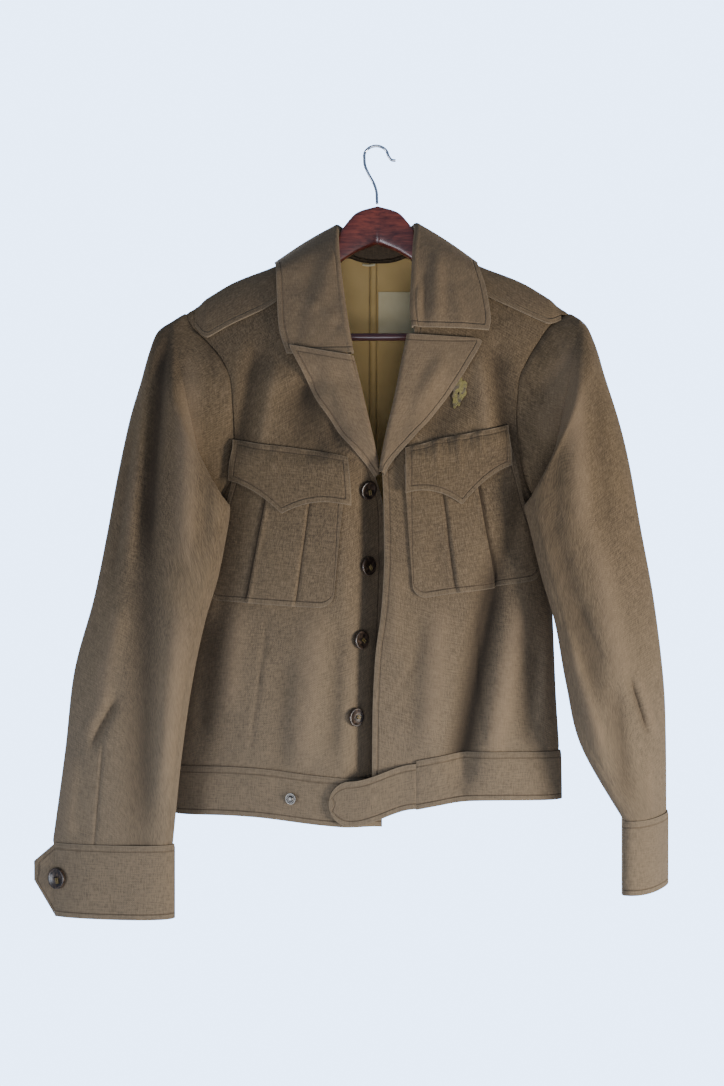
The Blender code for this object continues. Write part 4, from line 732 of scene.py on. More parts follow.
waistband = {
    "height": 0.052,
    "lift": 0.0010,
    "tabLeft": -0.0520,
    "tabRight": 0.0400,
    "tabTopLeft": -0.6880,
    "tabTopRight": -0.6700,
    "tabHeight": 0.0480,
    "tabRound": 0.0230,
    "tabEnd": 0.12,  # the share of its height left at the round end
    "tabRaised": (0.035, -0.01),  # from here to here it comes up onto the right waistband
    "tabLevelTo": -0.03,  # its top edge is level from its end to here, and rises beyond
    # the panels' folds run on into the band, and die out down it
    "foldFade": 0.075,
    "foldReach": 0.02,
    "foldUntil": 0.3,
}


def bandPoint(panel, share, z, lift=0.0):
    # the closed waist section: share runs from -1 at the wearer's right side to 1 at the left
    share, z = np.broadcast_arrays(np.asarray(share, float), np.asarray(z, float))
    angle = share * math.pi / 2
    power = 2 / bodyForm["squareness"]
    across = signedPower(np.sin(angle), power)
    deep = np.abs(np.cos(angle)) ** power
    x = across * (halfWidth(across, z) + lift)
    side = sideDepth(z)
    outwards, depth = (1, backDepth(z)) if panel == "back" else (-1, frontDepth(z))
    y = side + deep * (depth - side + outwards * lift)
    if panel == "front_right":
        y = y + frontEdges["sink"] * stepBetween(*frontEdges["sinkX"], x)
    top = waistZ[panel](x)
    out = creaseHeight(bodyCreases[panel], x, np.minimum(top, z + waistband["foldReach"]))
    out = out * stepBetween(waistband["foldFade"], 0.0, top - z)
    y = y + np.where(deep > waistband["foldUntil"], outwards * out, 0.0)
    return np.stack([x, y, z], axis=-1)


def shareAt(x, z):
    across = np.minimum(np.abs(x) / halfWidth(x, z), 1.0) ** (bodyForm["squareness"] / 2)
    return np.sign(x) * np.arcsin(across) * 2 / math.pi


def bandPoints(panel, startX, endX, columns):
    waist, height = waistZ[panel], waistband["height"]
    middle = float(waist(0.0)) - height / 2
    start, end = float(shareAt(startX, middle)), float(shareAt(endX, middle))
    share = lerp(start, end, spacing(columns))[None, :]
    level = spacing(26, extra=(0.01, 0.99))[:, None]
    z = waist(bandPoint(panel, share, middle)[..., 0]) - seamGap - height * level
    points = bandPoint(panel, share, z, waistband["lift"])
    atSide = np.abs(share) > 0.995
    seam = sideDepth(z) + (seamGap if panel == "back" else -seamGap) / 2
    points[..., 1] = np.where(atSide, seam, points[..., 1])
    return points


def makeWaistband():
    pastSide = 0.30  # any x beyond the side seam
    for side, panel, startX, endX, columns, seams, length in (
            ("right", "front_right", -pastSide, 0.004, 110, ("top",), 0.27),
            ("left", "front_left", waistband["tabRight"] + seamGap, pastSide, 90,
             ("top", "left"), 0.20),
            ("back", "back", -pastSide, pastSide, 170, ("top",), 0.46)):
        outward = backwards if side == "back" else forwards
        cut = bandPoints(panel, startX, endX, columns)
        makeCloth(f"waistband{side.title()}", f"waistband_{side}",
                  sunkSeams(cut, outward, seams), outward, size="band",
                  stitched=("top", "bottom"))


def makeWaistTab():
    left, right, height = (waistband[key] for key in ("tabLeft", "tabRight", "tabHeight"))
    x = lerp(left, right, spacing(80, extra=(0.002, 0.005, 0.01)) ** 1.4)[None, :]
    rising = stepBetween(waistband["tabLevelTo"], right, x)
    top = lerp(waistband["tabTopLeft"], waistband["tabTopRight"], rising)
    reach = np.maximum(1 - (x - left) / waistband["tabRound"], 0.0)
    half = height / 2 * np.maximum(np.sqrt(1 - reach * reach), waistband["tabEnd"])
    v = spacing(30, extra=(0.012, 0.988))[:, None]
    z = top - height / 2 + half * (1 - 2 * v)
    cut = bandPoint("front_left", shareAt(x, z), z, waistband["lift"])
    proud = clothSizes["band"] + clothSizes["layGap"] * 2
    cut[..., 1] -= proud * stepBetween(*waistband["tabRaised"], x)
    makeCloth("waistTab", "waist_tab", sunkSeams(cut, forwards, ("right",)), forwards,
              size="tab",
              stitched=("top", "bottom", "left"))


pockets = {
    # corners top inner, top outer, low inner, low outer, then the pleat's two sides
    "right": ((-0.0345, -0.3620), (-0.1490, -0.3460), (-0.0480, -0.5050), (-0.1850, -0.4960),
              (0.30, 0.66)),
    "left": ((0.0270, -0.3520), (0.1400, -0.3270), (0.0370, -0.4950), (0.1760, -0.4740),
             (0.34, 0.62)),
    "round": 0.016,
    "pleatRise": 0.0016,
    "pleatEdge": 0.012,
    "pleatSharp": 0.003,
    # the gap that the pleat's outer edge stands over, half as deep at its inner edge: depth,
    # place past the edge and width
    "slitDepth": 0.0036,
    "slits": ((0.016, 0.018), (-0.012, 0.012)),
    "slitEnds": (1.0, 0.93),
    "slitShadowUntil": 0.98,
    "deepest": 0.0006,  # nothing sinks further than this into the panel
    # the outer edge stands up beside its gap
    "lipRise": 0.0012,
    "lip": (-0.012, 0.012),
    # columns close to each side of the pleat
    "sharpColumns": (-0.014, -0.009, -0.004, 0.001, 0.005, 0.010, 0.016, 0.023, 0.032),
}

flaps = {
    # inner end x and z, outer end x and z, heights there, where the point hangs and how far
    "right": (-0.0325, -0.3445, -0.1560, -0.3245, 0.0510, 0.0430, 0.55, 0.024),
    "left": (0.0285, -0.3347, 0.1395, -0.3090, 0.0480, 0.0430, 0.53, 0.028),
    "cusp": 0.5,
    # puckers along the seam: place, height, width, and how far down they run
    "rightPuckers": [(0.15, 0.0008, 0.040, 0.5), (0.35, -0.0007, 0.040, 0.5),
                     (0.60, 0.0010, 0.050, 0.6), (0.82, -0.0008, 0.040, 0.5)],
    "leftPuckers": [(0.08, 0.0012, 0.022, 0.5), (0.18, -0.0012, 0.020, 0.6),
                    (0.29, 0.0020, 0.030, 0.8), (0.40, -0.0014, 0.020, 0.6),
                    (0.50, 0.0022, 0.028, 0.9), (0.61, -0.0014, 0.022, 0.5),
                    (0.71, 0.0016, 0.026, 0.7), (0.82, -0.0011, 0.018, 0.5),
                    (0.92, 0.0013, 0.022, 0.6)],
    "stand": 0.0006,
    # down a flap it comes to lie over the pocket's pleat, and its puckers lean outwards
    "overBy": 0.3,
    "puckerLean": 0.02,
}


def makePockets():
    for side in sideSign:
        *corners, (first, last) = pockets[side]
        sharp = [place + step for place in (first, last) for step in pockets["sharpColumns"]]
        u = spacing(56, extra=(0.003, 0.008, 0.992, 0.997, *sharp))[None, :, None]
        v = spacing(56, extra=(0.004, 0.996))[:, None, None]
        topIn, topOut, lowIn, lowOut = (np.array(corner) for corner in corners)
        top, low = lerp(topIn, topOut, u), lerp(lowIn, lowOut, u)
        length = np.linalg.norm(low - top, axis=-1)[..., None]
        width = math.dist(lowIn, lowOut)
        reach = np.maximum(1 - np.minimum(u, 1 - u) * width / pockets["round"], 0.0)
        short = length - pockets["round"] * (1 - np.sqrt(1 - reach * reach))
        spot = top + (low - top) / length * short * v
        u, v = np.broadcast_arrays(u[..., 0], v[..., 0])
        edge, sharpEdge = pockets["pleatEdge"], pockets["pleatSharp"]
        pleat = (stepBetween(first - edge, first + edge, u)
                 * stepBetween(last + sharpEdge, last - sharpEdge, u))
        (outerStep, outerWidth), (innerStep, innerWidth) = pockets["slits"]
        slit = (gaussian(u, last + outerStep, outerWidth)
                + 0.5 * gaussian(u, first + innerStep, innerWidth))
        lipStep, lipWidth = pockets["lip"]
        rise = (pockets["pleatRise"] * pleat
                + pockets["lipRise"] * gaussian(u, last + lipStep, lipWidth)
                - pockets["slitDepth"] * slit * stepBetween(*pockets["slitEnds"], v))
        lift = np.maximum(firstLayer + rise, clothSizes["single"] - pockets["deepest"])
        points = laid(f"front_{side}", spot[..., 0], spot[..., 1], lift)
        shown = foldDepth(bodyCreases[f"front_{side}"], points)
        # painted shadow in the slit under the pleat's edge
        shown = shown + deepestFold * slit * (v < pockets["slitShadowUntil"])
        makeCloth(f"pocket{side.title()}", f"pocket_{side}", points, forwards,
                  size="pocket",
                  stitched=("left", "right", "bottom"), folds=shown)


def makeFlaps():
    for side in sideSign:
        inX, inZ, outX, outZ, inHeight, outHeight, pointAt, pointDrop = flaps[side]
        u = spacing(84, extra=(0.003, 0.008, 0.992, 0.997))[None, :]
        v = spacing(40, extra=(0.006, 0.994))[:, None]
        x, top = lerp(inX, outX, u), lerp(inZ, outZ, u)
        nearness = np.maximum(1 - np.abs(u - pointAt) / flaps["cusp"], 0.0)
        height = lerp(inHeight, outHeight, u) + pointDrop * nearness ** 2
        overPleat = clothSizes["pocket"] + pockets["pleatRise"] + clothSizes["layGap"]
        lift = firstLayer + flaps["stand"] + overPleat * stepBetween(0.0, flaps["overBy"], v)
        for place, rise, wide, run in flaps[f"{side}Puckers"]:
            across = gaussian(u, place + flaps["puckerLean"] * v, wide)
            lift = lift + rise * across * stepBetween(run, 0.0, v) * stepBetween(0.0, 0.05, v)
        points = laid(f"front_{side}", x, top - height * v, lift)
        makeCloth(f"pocketFlap{side.title()}", f"pocket_flap_{side}",
                  sunkSeams(points, forwards, ("top",)), forwards,
                  size="double",
                  stitched=("left", "right", "bottom", "top"))


lapels = {
    # roll x and z, edge x and z, from the gorge down to the roll's end
    "right": [
        (-0.0275, -0.2375, -0.0930, -0.2270),
        (-0.0268, -0.2410, -0.0905, -0.2340),
        (-0.0230, -0.2560, -0.0780, -0.2560),
        (-0.0160, -0.2860, -0.0600, -0.2890),
        (-0.0090, -0.3160, -0.0370, -0.3225),
        (-0.0025, -0.3440, -0.0150, -0.3500),
        (0.0000, -0.3600, -0.0045, -0.3640),
    ],
    "left": [
        (0.0325, -0.2140, 0.1040, -0.2180),
        (0.0310, -0.2210, 0.1090, -0.2235),
        (0.0255, -0.2480, 0.0930, -0.2520),
        (0.0185, -0.2830, 0.0690, -0.2850),
        (0.0110, -0.3140, 0.0420, -0.3180),
        (0.0050, -0.3450, 0.0150, -0.3490),
        (0.0030, -0.3600, 0.0070, -0.3640),
    ],
    "rise": 0.0054,
    "rollRadius": 0.0022,
    "rollIn": 0.0008,  # how far the roll starts inside the front's face
    "narrowing": 0.012,  # a lapel narrower than this has a smaller roll
    "riseZ": (-0.268, -0.238),  # the right lapel stands off by rise above these heights
    "creases": [
        (-0.056, -0.247, -0.019, -0.326, 0.0024, 0.009, 1.4),
        (0.055, -0.236, 0.023, -0.316, -0.0014, 0.008, 1.0),
        (0.071, -0.240, 0.039, -0.290, 0.0022, 0.008, 1.3),
    ],
}


def makeLapels():
    radius = lapels["rollRadius"]
    for side, sign in sideSign.items():
        rows = smoothRows(lapels[side], 96)[:, None, :]
        rollX, rollZ, edgeXs, edgeZ = (rows[..., k] for k in range(4))
        turn = np.radians(np.linspace(-90, 90, 9))[None, :]
        narrow = np.minimum(1.0, np.abs(edgeXs - rollX) / lapels["narrowing"])
        turnX = rollX + sign * radius * narrow * (1 - np.cos(turn))
        turnLift = radius - lapels["rollIn"] + radius * np.sin(turn)
        v = spacing(44, extra=(0.99,))[None, 1:]
        flatX, flatZ = lerp(rollX + sign * radius * narrow, edgeXs, v), lerp(rollZ, edgeZ, v)
        flatLift = lerp(2 * radius - lapels["rollIn"], firstLayer, stepBetween(0.0, 0.7, v))
        flatLift = flatLift + 0 * flatX
        if side == "right":
            flatLift += lapels["rise"] * stepBetween(*lapels["riseZ"], flatZ)
        x = np.concatenate([turnX, flatX], axis=1)
        z = np.concatenate([rollZ + 0 * turnX, flatZ], axis=1)
        lift = np.concatenate([turnLift + 0 * turnX, flatLift], axis=1)
        points = creased(laid(f"front_{side}", x, z, lift), lapels["creases"], forwards)
        makeCloth(f"lapel{side.title()}", f"lapel_{side}", points, forwards,
                  size="double",
                  stitched=("top", "right"), folds=litLikeRidge)


collar = {
    # a place: height on the front's inner edge, or x along the back neck; the fold's x, y and
    # z; the outer edge's x and its drop below the shoulder line; how far the fall stands off
    "rows": [
        (-0.2350, -0.0285, None, -0.2340, -0.0960, 0.1060, 0.0008),
        (-0.2000, -0.0345, None, -0.1980, -0.1040, 0.0760, 0.0014),
        (-0.1600, -0.0405, None, -0.1540, -0.1050, 0.0420, 0.0066),
        (-0.1250, -0.0440, None, -0.1170, -0.1065, 0.0120, 0.0105),
        (-0.0500, -0.0450, -0.003, -0.0885, -0.1040, -0.0030, 0.0100),
        (-0.0400, -0.0385, 0.016, -0.0880, -0.0760, -0.0230, 0.0070),
        (-0.0210, -0.0200, 0.026, -0.0870, -0.0380, -0.0330, 0.0070),
        (0.0000, 0.0000, 0.029, -0.0865, 0.0010, -0.0290, 0.0070),
        (0.0210, 0.0200, 0.026, -0.0865, 0.0380, -0.0330, 0.0070),
        (0.0400, 0.0370, 0.016, -0.0870, 0.0760, -0.0230, 0.0070),
        (0.0500, 0.0430, -0.003, -0.0865, 0.1010, -0.0030, 0.0080),
        (-0.1250, 0.0405, None, -0.1150, 0.1055, 0.0080, 0.0070),
        (-0.1600, 0.0385, None, -0.1520, 0.1120, 0.0290, 0.0065),
        (-0.1850, 0.0365, None, -0.1830, 0.1175, 0.0590, 0.0060),
        (-0.2060, 0.0400, None, -0.2060, 0.1150, 0.0740, 0.0060),
    ],
    "proud": 0.0045,
    "foldRadius": 0.0022,
    "bulge": 0.003,
    "foldTurn": 1.2,     # radians of the fold each way
    "foldSteps": 9,
    "outward": (0, 1, 0.5),
    "creases": [
        (-0.0660, -0.1850, -0.0400, -0.2080, -0.0024, 0.0040, 1.5),
        (-0.0710, -0.1770, -0.0450, -0.2010, 0.0028, 0.0060, 1.0),
        (-0.0500, -0.1250, -0.0590, -0.1780, 0.0024, 0.0090, 1.3),
        (-0.0820, -0.1780, -0.0870, -0.2260, -0.0014, 0.0080, 1.0),
        (-0.0640, -0.1300, -0.0760, -0.1700, -0.0016, 0.0070, 1.4),
        (0.0520, -0.1400, 0.0496, -0.2000, -0.0026, 0.0045, 1.6),
        (0.0640, -0.1250, 0.0620, -0.2000, 0.0032, 0.0070, 1.0),
        (0.0800, -0.1600, 0.0900, -0.2060, 0.0020, 0.0070, 1.2),
        (0.0422, -0.1600, 0.0401, -0.2100, 0.0020, 0.0045, 1.0),
    ],
    "standColumns": 10,
    "fallColumns": 40,
    "steps": 18,
}


def collarSeam(at, foldY, side):
    if foldY is not None:
        y, z = (float(part) for part in panelTop(at, True))
        return np.array([at, y - 3 * seamGap, z + 3 * seamGap])
    x = float(innerEdge(side, at)) - sideSign[side] * 2 * seamGap
    return laid(f"front_{side}", x, at, -seamGap)


def collarSection(row):
    at, foldX, foldY, foldZ, edgeAt, drop, lift = row
    side = "right" if edgeAt < 0 else "left"
    seam = collarSeam(at, foldY, side)
    panel = "back" if drop < 0 else f"front_{side}"
    fold = (laid(panel, foldX, foldZ, collar["proud"]) if foldY is None
            else np.array([foldX, foldY, foldZ]))
    root = math.copysign(math.sqrt(abs(drop)), drop)
    edge = laidOver(panel, edgeAt, root, firstLayer + lift)
    up = unit(fold - seam)
    out = edge - fold
    out = unit(out - up * float(out @ up))
    radius = collar["foldRadius"]
    turn = np.linspace(-collar["foldTurn"], collar["foldTurn"], collar["foldSteps"])[:, None]
    arc = fold - up * radius + (up * np.cos(turn) + out * np.sin(turn)) * radius
    share = np.linspace(0, 1, collar["standColumns"], endpoint=False)[:, None]
    stand = lerp(seam, arc[0], share)
    share = np.linspace(0, 1, collar["fallColumns"] + 1)[1:]
    start = arc[-1]
    if foldY is None and drop > 0.02:
        x, z = lerp(start[0], edge[0], share), lerp(start[2], edge[2], share)
        rise = clothSizes["single"] + lerp(collar["proud"] - clothSizes["single"],
                                           clothSizes["layGap"] + lift, share)
        fall = laid(panel, x, z, rise)
        fall += (start - laid(panel, start[0], start[2], rise[0])) * (1 - share[:, None]) ** 3
    else:
        fall = lerp(start, edge, share[:, None])
        fall[:, 2] += collar["bulge"] * np.sin(share * math.pi)
    return np.concatenate([stand, arc, fall])


def makeCollar():
    sections = np.array([collarSection(row) for row in collar["rows"]])
    points = smoothRows(sections, (len(sections) - 1) * collar["steps"])
    fall = collar["standColumns"] + collar["foldSteps"]
    points[:, fall:] = creased(points, collar["creases"], collar["outward"])[:, fall:]
    makeCloth("collarFall", "collar", points, collar["outward"],
              size="double",
              stitched=("top", "bottom", "right"), folds=litLikeRidge)


shoulderStraps = {
    # x, drop in front, drop behind
    "right": [(0.1015, 0.0400, -0.0080), (0.125, 0.0440, -0.0080), (0.150, 0.0450, -0.0090),
              (0.180, 0.0430, -0.0080), (0.197, 0.0200, -0.0050)],
    "left": [(0.099, 0.0300, -0.0090), (0.125, 0.0320, -0.0090), (0.150, 0.0330, -0.0100),
             (0.180, 0.0280, -0.0090), (0.198, 0.0120, -0.0050)],
    # the outer end is sewn in under the sleeve's head: how far from its end, and how deep
    "sunk": (0.014, 0.002),
    "sunkBy": clothSizes["double"] + 0.0006,
}


def makeShoulderStraps():
    for side, sign in sideSign.items():
        table = shoulderStraps[side]
        first, end = table[0][0], table[-1][0]
        inFront, behind = smoothThrough(table, 0, 1), smoothThrough(table, 0, 2)
        x = lerp(first, end, spacing(50, extra=(0.99,)))[:, None]
        v = spacing(40, extra=(0.01, 0.99))[None, :]
        root = lerp(-np.sqrt(-behind(x)), np.sqrt(inFront(x)), v)
        x = np.broadcast_to(sign * x, root.shape)
        sunk = stepBetween(*(end - part for part in shoulderStraps["sunk"]), np.abs(x))
        lift = firstLayer - shoulderStraps["sunkBy"] * sunk
        points = np.where((root < 0)[..., None], laidOver("back", x, root, lift),
                          laidOver(f"front_{side}", x, root, lift))
        makeCloth(f"shoulderStrap{side.title()}", f"shoulder_strap_{side}", points,
                  (0, -0.5, 1), size="double",
                  stitched=("left", "right"), folds=litLikeRidge / 2)


lining = {
    "foot": -0.640,
    "halfTop": 0.120,
    "halfFoot": 0.160,
    "drop": 0.036,  # below the shoulder line, but nearly none of it in the middle
    "dropShare": 0.08,
    "dropX": (0.030, 0.060),
    "inside": 0.0050,
    "pleatX": -0.0040,
    "pleatWidth": 0.006,
    "pleatRise": 0.0016,
    "seams": (-0.0085, -0.0010),
    "seamWidth": 0.0011,
    "seamDepth": 0.0012,
    "label": (0.0010, -0.1560, 0.040, 0.047),
}


def makeLining():
    # the lining of the back, seen through the open neck, with its centre pleat and bare label
    def pleated(x, z, inside):
        points = laid("back", x, z, -inside)
        points[..., 1] -= lining["pleatRise"] * gaussian(x, lining["pleatX"],
                                                         lining["pleatWidth"])
        return points

    u, v = spacing(130)[None, :] * 2 - 1, spacing(70)[:, None]
    u = u * np.abs(u) ** 0.6  # close together at the pleat
    x = u * lerp(lining["halfTop"], lining["halfFoot"], stepBetween(0.0, 0.4, v))
    share = lining["dropShare"] + stepBetween(*lining["dropX"], np.abs(x))
    z = lerp(panelTop(x, True)[1] - lining["drop"] * share, lining["foot"], v ** 1.3)
    points = pleated(x, z, lining["inside"])
    sewn = sum(gaussian(x, place, lining["seamWidth"]) for place in lining["seams"])
    points[..., 1] += lining["seamDepth"] * sewn
    # the seams' grooves get painted shade
    makeCloth("backLining", "lining_back", points, forwards,
              size="lining", folds=deepestFold * sewn,
              finish=cottonLining)
    left, top, wide, high = lining["label"]
    x, z = np.broadcast_arrays(left + wide * spacing(30)[None, :],
                               top - high * spacing(30)[:, None])
    points = pleated(x, z, lining["inside"] + clothSizes["lining"] + clothSizes["layGap"])
    makeCloth("neckLabel", "neck_label", points, forwards,
              size="lining",
              stitched=("left", "right", "top", "bottom"), finish=cottonTape)


flyStrip = {"top": -0.366, "foot": -0.655, "from": 0.0022, "wide": 0.040, "inside": 0.0020}


def makeFlyStrip():
    z = lerp(flyStrip["top"], flyStrip["foot"], spacing(90)[:, None])
    x = edgeX["leftEdge"](z) + flyStrip["from"] + flyStrip["wide"] * spacing(20)[None, :]
    points = laid("front_left", x, z, -flyStrip["inside"])
    makeCloth("flyStrip", "fly_strip", points, backwards,
              stitched=("left",))


chestScrap = {
    "centre": (0.0860, -0.2755),
    "half": (0.0072, 0.0155),
    "tilt": 0.22,
    "proud": 0.0007,
    # the worn edge comes and goes: how often round, by how much, and from which angle
    "nicks": [(3, 0.10, 0.4), (7, 0.07, 1.9), (11, 0.05, 0.9)],
}


def makeChestScrap():
    # an irregular oval, worn out of its background
    around, out = np.linspace(0, 2 * math.pi, 97)[None, :], np.linspace(0.12, 1, 12)[:, None]
    reach = out * (1 + sum(size * np.sin(count * around + turn)
                           for count, size, turn in chestScrap["nicks"]))
    across, up = (half * part * reach for half, part in
                  zip(chestScrap["half"], (np.cos(around), np.sin(around))))
    (centreX, centreZ), tilt = chestScrap["centre"], chestScrap["tilt"]
    x = centreX + across * math.cos(tilt) + up * math.sin(tilt)
    z = centreZ - across * math.sin(tilt) + up * math.cos(tilt)
    points = laid("front_left", x, z, clothSizes["single"] + chestScrap["proud"])
    makeCloth("chestScrap", "chest_scrap", points, forwards,
              size="lining",
              finish=wornEmbroidery)


# Hard pieces are modelled with Blender's own tools, as by hand.
def objectMode():
    if bpy.context.mode != "OBJECT":
        bpy.ops.object.mode_set(mode="OBJECT")


def startClean():
    objectMode()
    bpy.ops.object.select_all(action="DESELECT")


def editAll():
    bpy.ops.object.mode_set(mode="EDIT")
    bpy.ops.mesh.select_all(action="SELECT")


def selectFaces(test):
    # leaves edit mode on, with only the faces whose centre and normal pass the test
    obj = bpy.context.object
    bpy.ops.mesh.select_mode(type="FACE")
    bpy.ops.mesh.select_all(action="DESELECT")
    shape = bmesh.from_edit_mesh(obj.data)
    for face in shape.faces:
        face.select_set(bool(test(face.calc_center_median(), face.normal)))
    shape.select_flush_mode()
    bmesh.update_edit_mesh(obj.data)


def outwardNormals():
    editAll()
    bpy.ops.mesh.remove_doubles(threshold=0.00002)
    bpy.ops.mesh.normals_make_consistent(inside=False)
    objectMode()


def finishHard(obj, name, nodes, finish, smoothAngle=40):
    startClean()
    obj.select_set(True)
    bpy.context.view_layer.objects.active = obj
    obj.name = obj.data.name = name
    obj.data.materials.clear()
    obj.data.materials.append(finish)
    bpy.ops.object.transform_apply(location=True, rotation=True, scale=True)
    bpy.ops.object.shade_smooth_by_angle(angle=math.radians(smoothAngle))
    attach(obj, "root")
    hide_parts(*nodes)


def applyModifier(obj, kind, **settings):
    modifier = obj.modifiers.new(kind.lower(), kind)
    for key, value in settings.items():
        setattr(modifier, key, value)
    bpy.context.view_layer.objects.active = obj
    bpy.ops.object.modifier_apply(modifier=modifier.name)


def addCylinder(vertices, radius, depth, place, turn=(0, 0, 0)):
    startClean()
    bpy.ops.mesh.primitive_cylinder_add(vertices=vertices, radius=radius, depth=depth,
                                        location=place, rotation=turn)
    return bpy.context.object


def insetFaces(steps):
    for thickness, depth in steps:
        bpy.ops.mesh.inset(thickness=thickness, depth=depth)


def roundEdges(obj, width, segments, sharperThan):
    applyModifier(obj, "BEVEL", width=width, segments=segments, limit_method="ANGLE",
                  angle_limit=math.radians(sharperThan))


def cutAway(obj, tool):
    applyModifier(obj, "BOOLEAN", object=tool, operation="DIFFERENCE", solver="EXACT")
    bpy.data.objects.remove(tool, do_unlink=True)


buttons = {
    "front": [(-0.0125, -0.3785), (-0.0128, -0.4598), (-0.0203, -0.5379), (-0.0256, -0.6203)],
    "radius": 0.0100,
    "thick": 0.0034,
    "shank": 0.0027,
    # shares of radius and thickness: a rim, then two steps down into the dish
    "dish": [(0.14, 0.0), (0.16, -0.16), (0.10, -0.14)],
    "backInset": 0.2,
    "edgeRound": 0.22,
    "holeRadius": 0.0009,
    "holeApart": 0.0021,
    "threadLevel": 0.7,  # how high in the button the thread crosses, by its thickness
    "threadRadius": 0.0006,
    "crossRadius": 0.00055,
    "crossPast": 0.0006,
    # each is sewn on turned a little further
    "frontTurn": 0.3,
    "cuffTurn": 0.2,
}

pressStud = {
    "x": -0.0905,
    "z": -0.7070,
    "radius": 0.0062,
    "thick": 0.0012,
    "stand": 0.0022,
    # insets by the radius, and how far each goes down or up: flange, groove and cap
    "rings": [(0.22, 0.0), (0.12, -0.0005), (0.12, 0.0), (0.08, 0.0016), (0.12, 0.0003)],
    "edgeRound": 0.00022,
}


def modelButton():
    # one four-hole button at the origin, its face towards +Z
    radius, thick, half = buttons["radius"], buttons["thick"], buttons["holeApart"] / 2
    button = addCylinder(48, radius, thick, (0, 0, thick / 2))
    editAll()
    selectFaces(lambda centre, normal: normal.z > 0.9)
    insetFaces([(radius * wide, thick * deep) for wide, deep in buttons["dish"]])
    selectFaces(lambda centre, normal: normal.z < -0.9)
    insetFaces([(radius * buttons["backInset"], 0.0)])
    objectMode()
    roundEdges(button, thick * buttons["edgeRound"], 3, 50)
    for corner in ((-half, -half), (half, -half), (half, half), (-half, half)):
        cutAway(button, addCylinder(14, buttons["holeRadius"], thick * 3, (*corner, 0)))
    return button


def modelThread():
    # strands through the four holes, down into the cloth, and two that cross between them
    level, half = buttons["thick"] * buttons["threadLevel"], buttons["holeApart"] / 2
    strands = []
    for cornerX in (-half, half):
        strands.append(addCylinder(10, buttons["crossRadius"], 2 * half + buttons["crossPast"],
                                   (cornerX, 0, level), (math.pi / 2, 0, 0)))
        for cornerY in (-half, half):
            strands.append(addCylinder(10, buttons["threadRadius"], level + buttons["shank"],
                                       (cornerX, cornerY, (level - buttons["shank"]) / 2)))
    for strand in strands:
        strand.select_set(True)
    bpy.context.view_layer.objects.active = strands[0]
    bpy.ops.object.join()
    return bpy.context.object


def copyTo(pattern, place, facingTo, scale, turn):
    # a copy with its own mesh, its +Z turned to facingTo
    piece = pattern.copy()
    piece.data = pattern.data.copy()
    bpy.context.scene.collection.objects.link(piece)
    out = unit(np.asarray(facingTo, float))
    side = unit(np.cross((0.0, 0.0, 1.0), out))
    up = np.cross(out, side)
    across = side * math.cos(turn) + up * math.sin(turn)
    along = np.cross(out, across)
    matrix = np.eye(4)
    matrix[:3, 0], matrix[:3, 1], matrix[:3, 2] = across * scale, along * scale, out * scale
    matrix[:3, 3] = place
    piece.matrix_world = Matrix([tuple(row) for row in matrix])
    return piece


def makeButtons():
    pattern, thread = modelButton(), modelThread()
    places = []
    for number, (x, z) in enumerate(buttons["front"], 1):
        place = laid("front_right", x, z, clothSizes["single"] + buttons["shank"])
        out = place - laid("front_right", x, z, 0.0)
        places.append((f"frontButton{number}", f"front_button_{number}", place, out, 1.0,
                       buttons["frontTurn"] * number))
    for side in sideSign:
        (place, inner), _ = cuffPath(side, cuffs["tabShare"] + np.array(cuffs["buttonRun"]))
        along = place - inner
        place[2] = (sleeveRings(side, np.array(1.0))[2]
                    - cuffs["height"] * cuffs["tipShare"] * cuffs["buttonDrop"])
        out = unit(np.array([along[1], -along[0], 0.0]))
        out = -out if out[1] > 0 else out
        place = place + out * (clothSizes["double"] + buttons["shank"])
        places.append((f"cuffButton{side.title()}", f"cuff_button_{side}", place, out,
                       cuffs["buttonRadius"] / buttons["radius"], buttons["cuffTurn"]))
    for name, node, *seat in places:
        finishHard(copyTo(pattern, *seat), name, [node], hornPlastic)
        finishHard(copyTo(thread, *seat), f"{name}Thread", [], cottonThread)
    for spare in (pattern, thread):
        bpy.data.objects.remove(spare, do_unlink=True)


def makePressStud():
    radius, thick = pressStud["radius"], pressStud["thick"]
    stud = addCylinder(40, radius, thick, (0, 0, thick / 2))
    editAll()
    selectFaces(lambda centre, normal: normal.z > 0.9)
    insetFaces([(radius * wide, deep) for wide, deep in pressStud["rings"]])
    objectMode()
    roundEdges(stud, pressStud["edgeRound"], 2, 35)
    share = shareAt(pressStud["x"], pressStud["z"])
    stand = waistband["lift"] + clothSizes["band"] + pressStud["stand"]
    base, inner = (bandPoint("front_right", share, pressStud["z"], lift)
                   for lift in (stand, 0.0))
    piece = copyTo(stud, base, (base - inner) * (1, 1, 0), 1.0, 0.0)
    bpy.data.objects.remove(stud, do_unlink=True)
    finishHard(piece, "pressStud", ["press_stud"], dulledNickel)


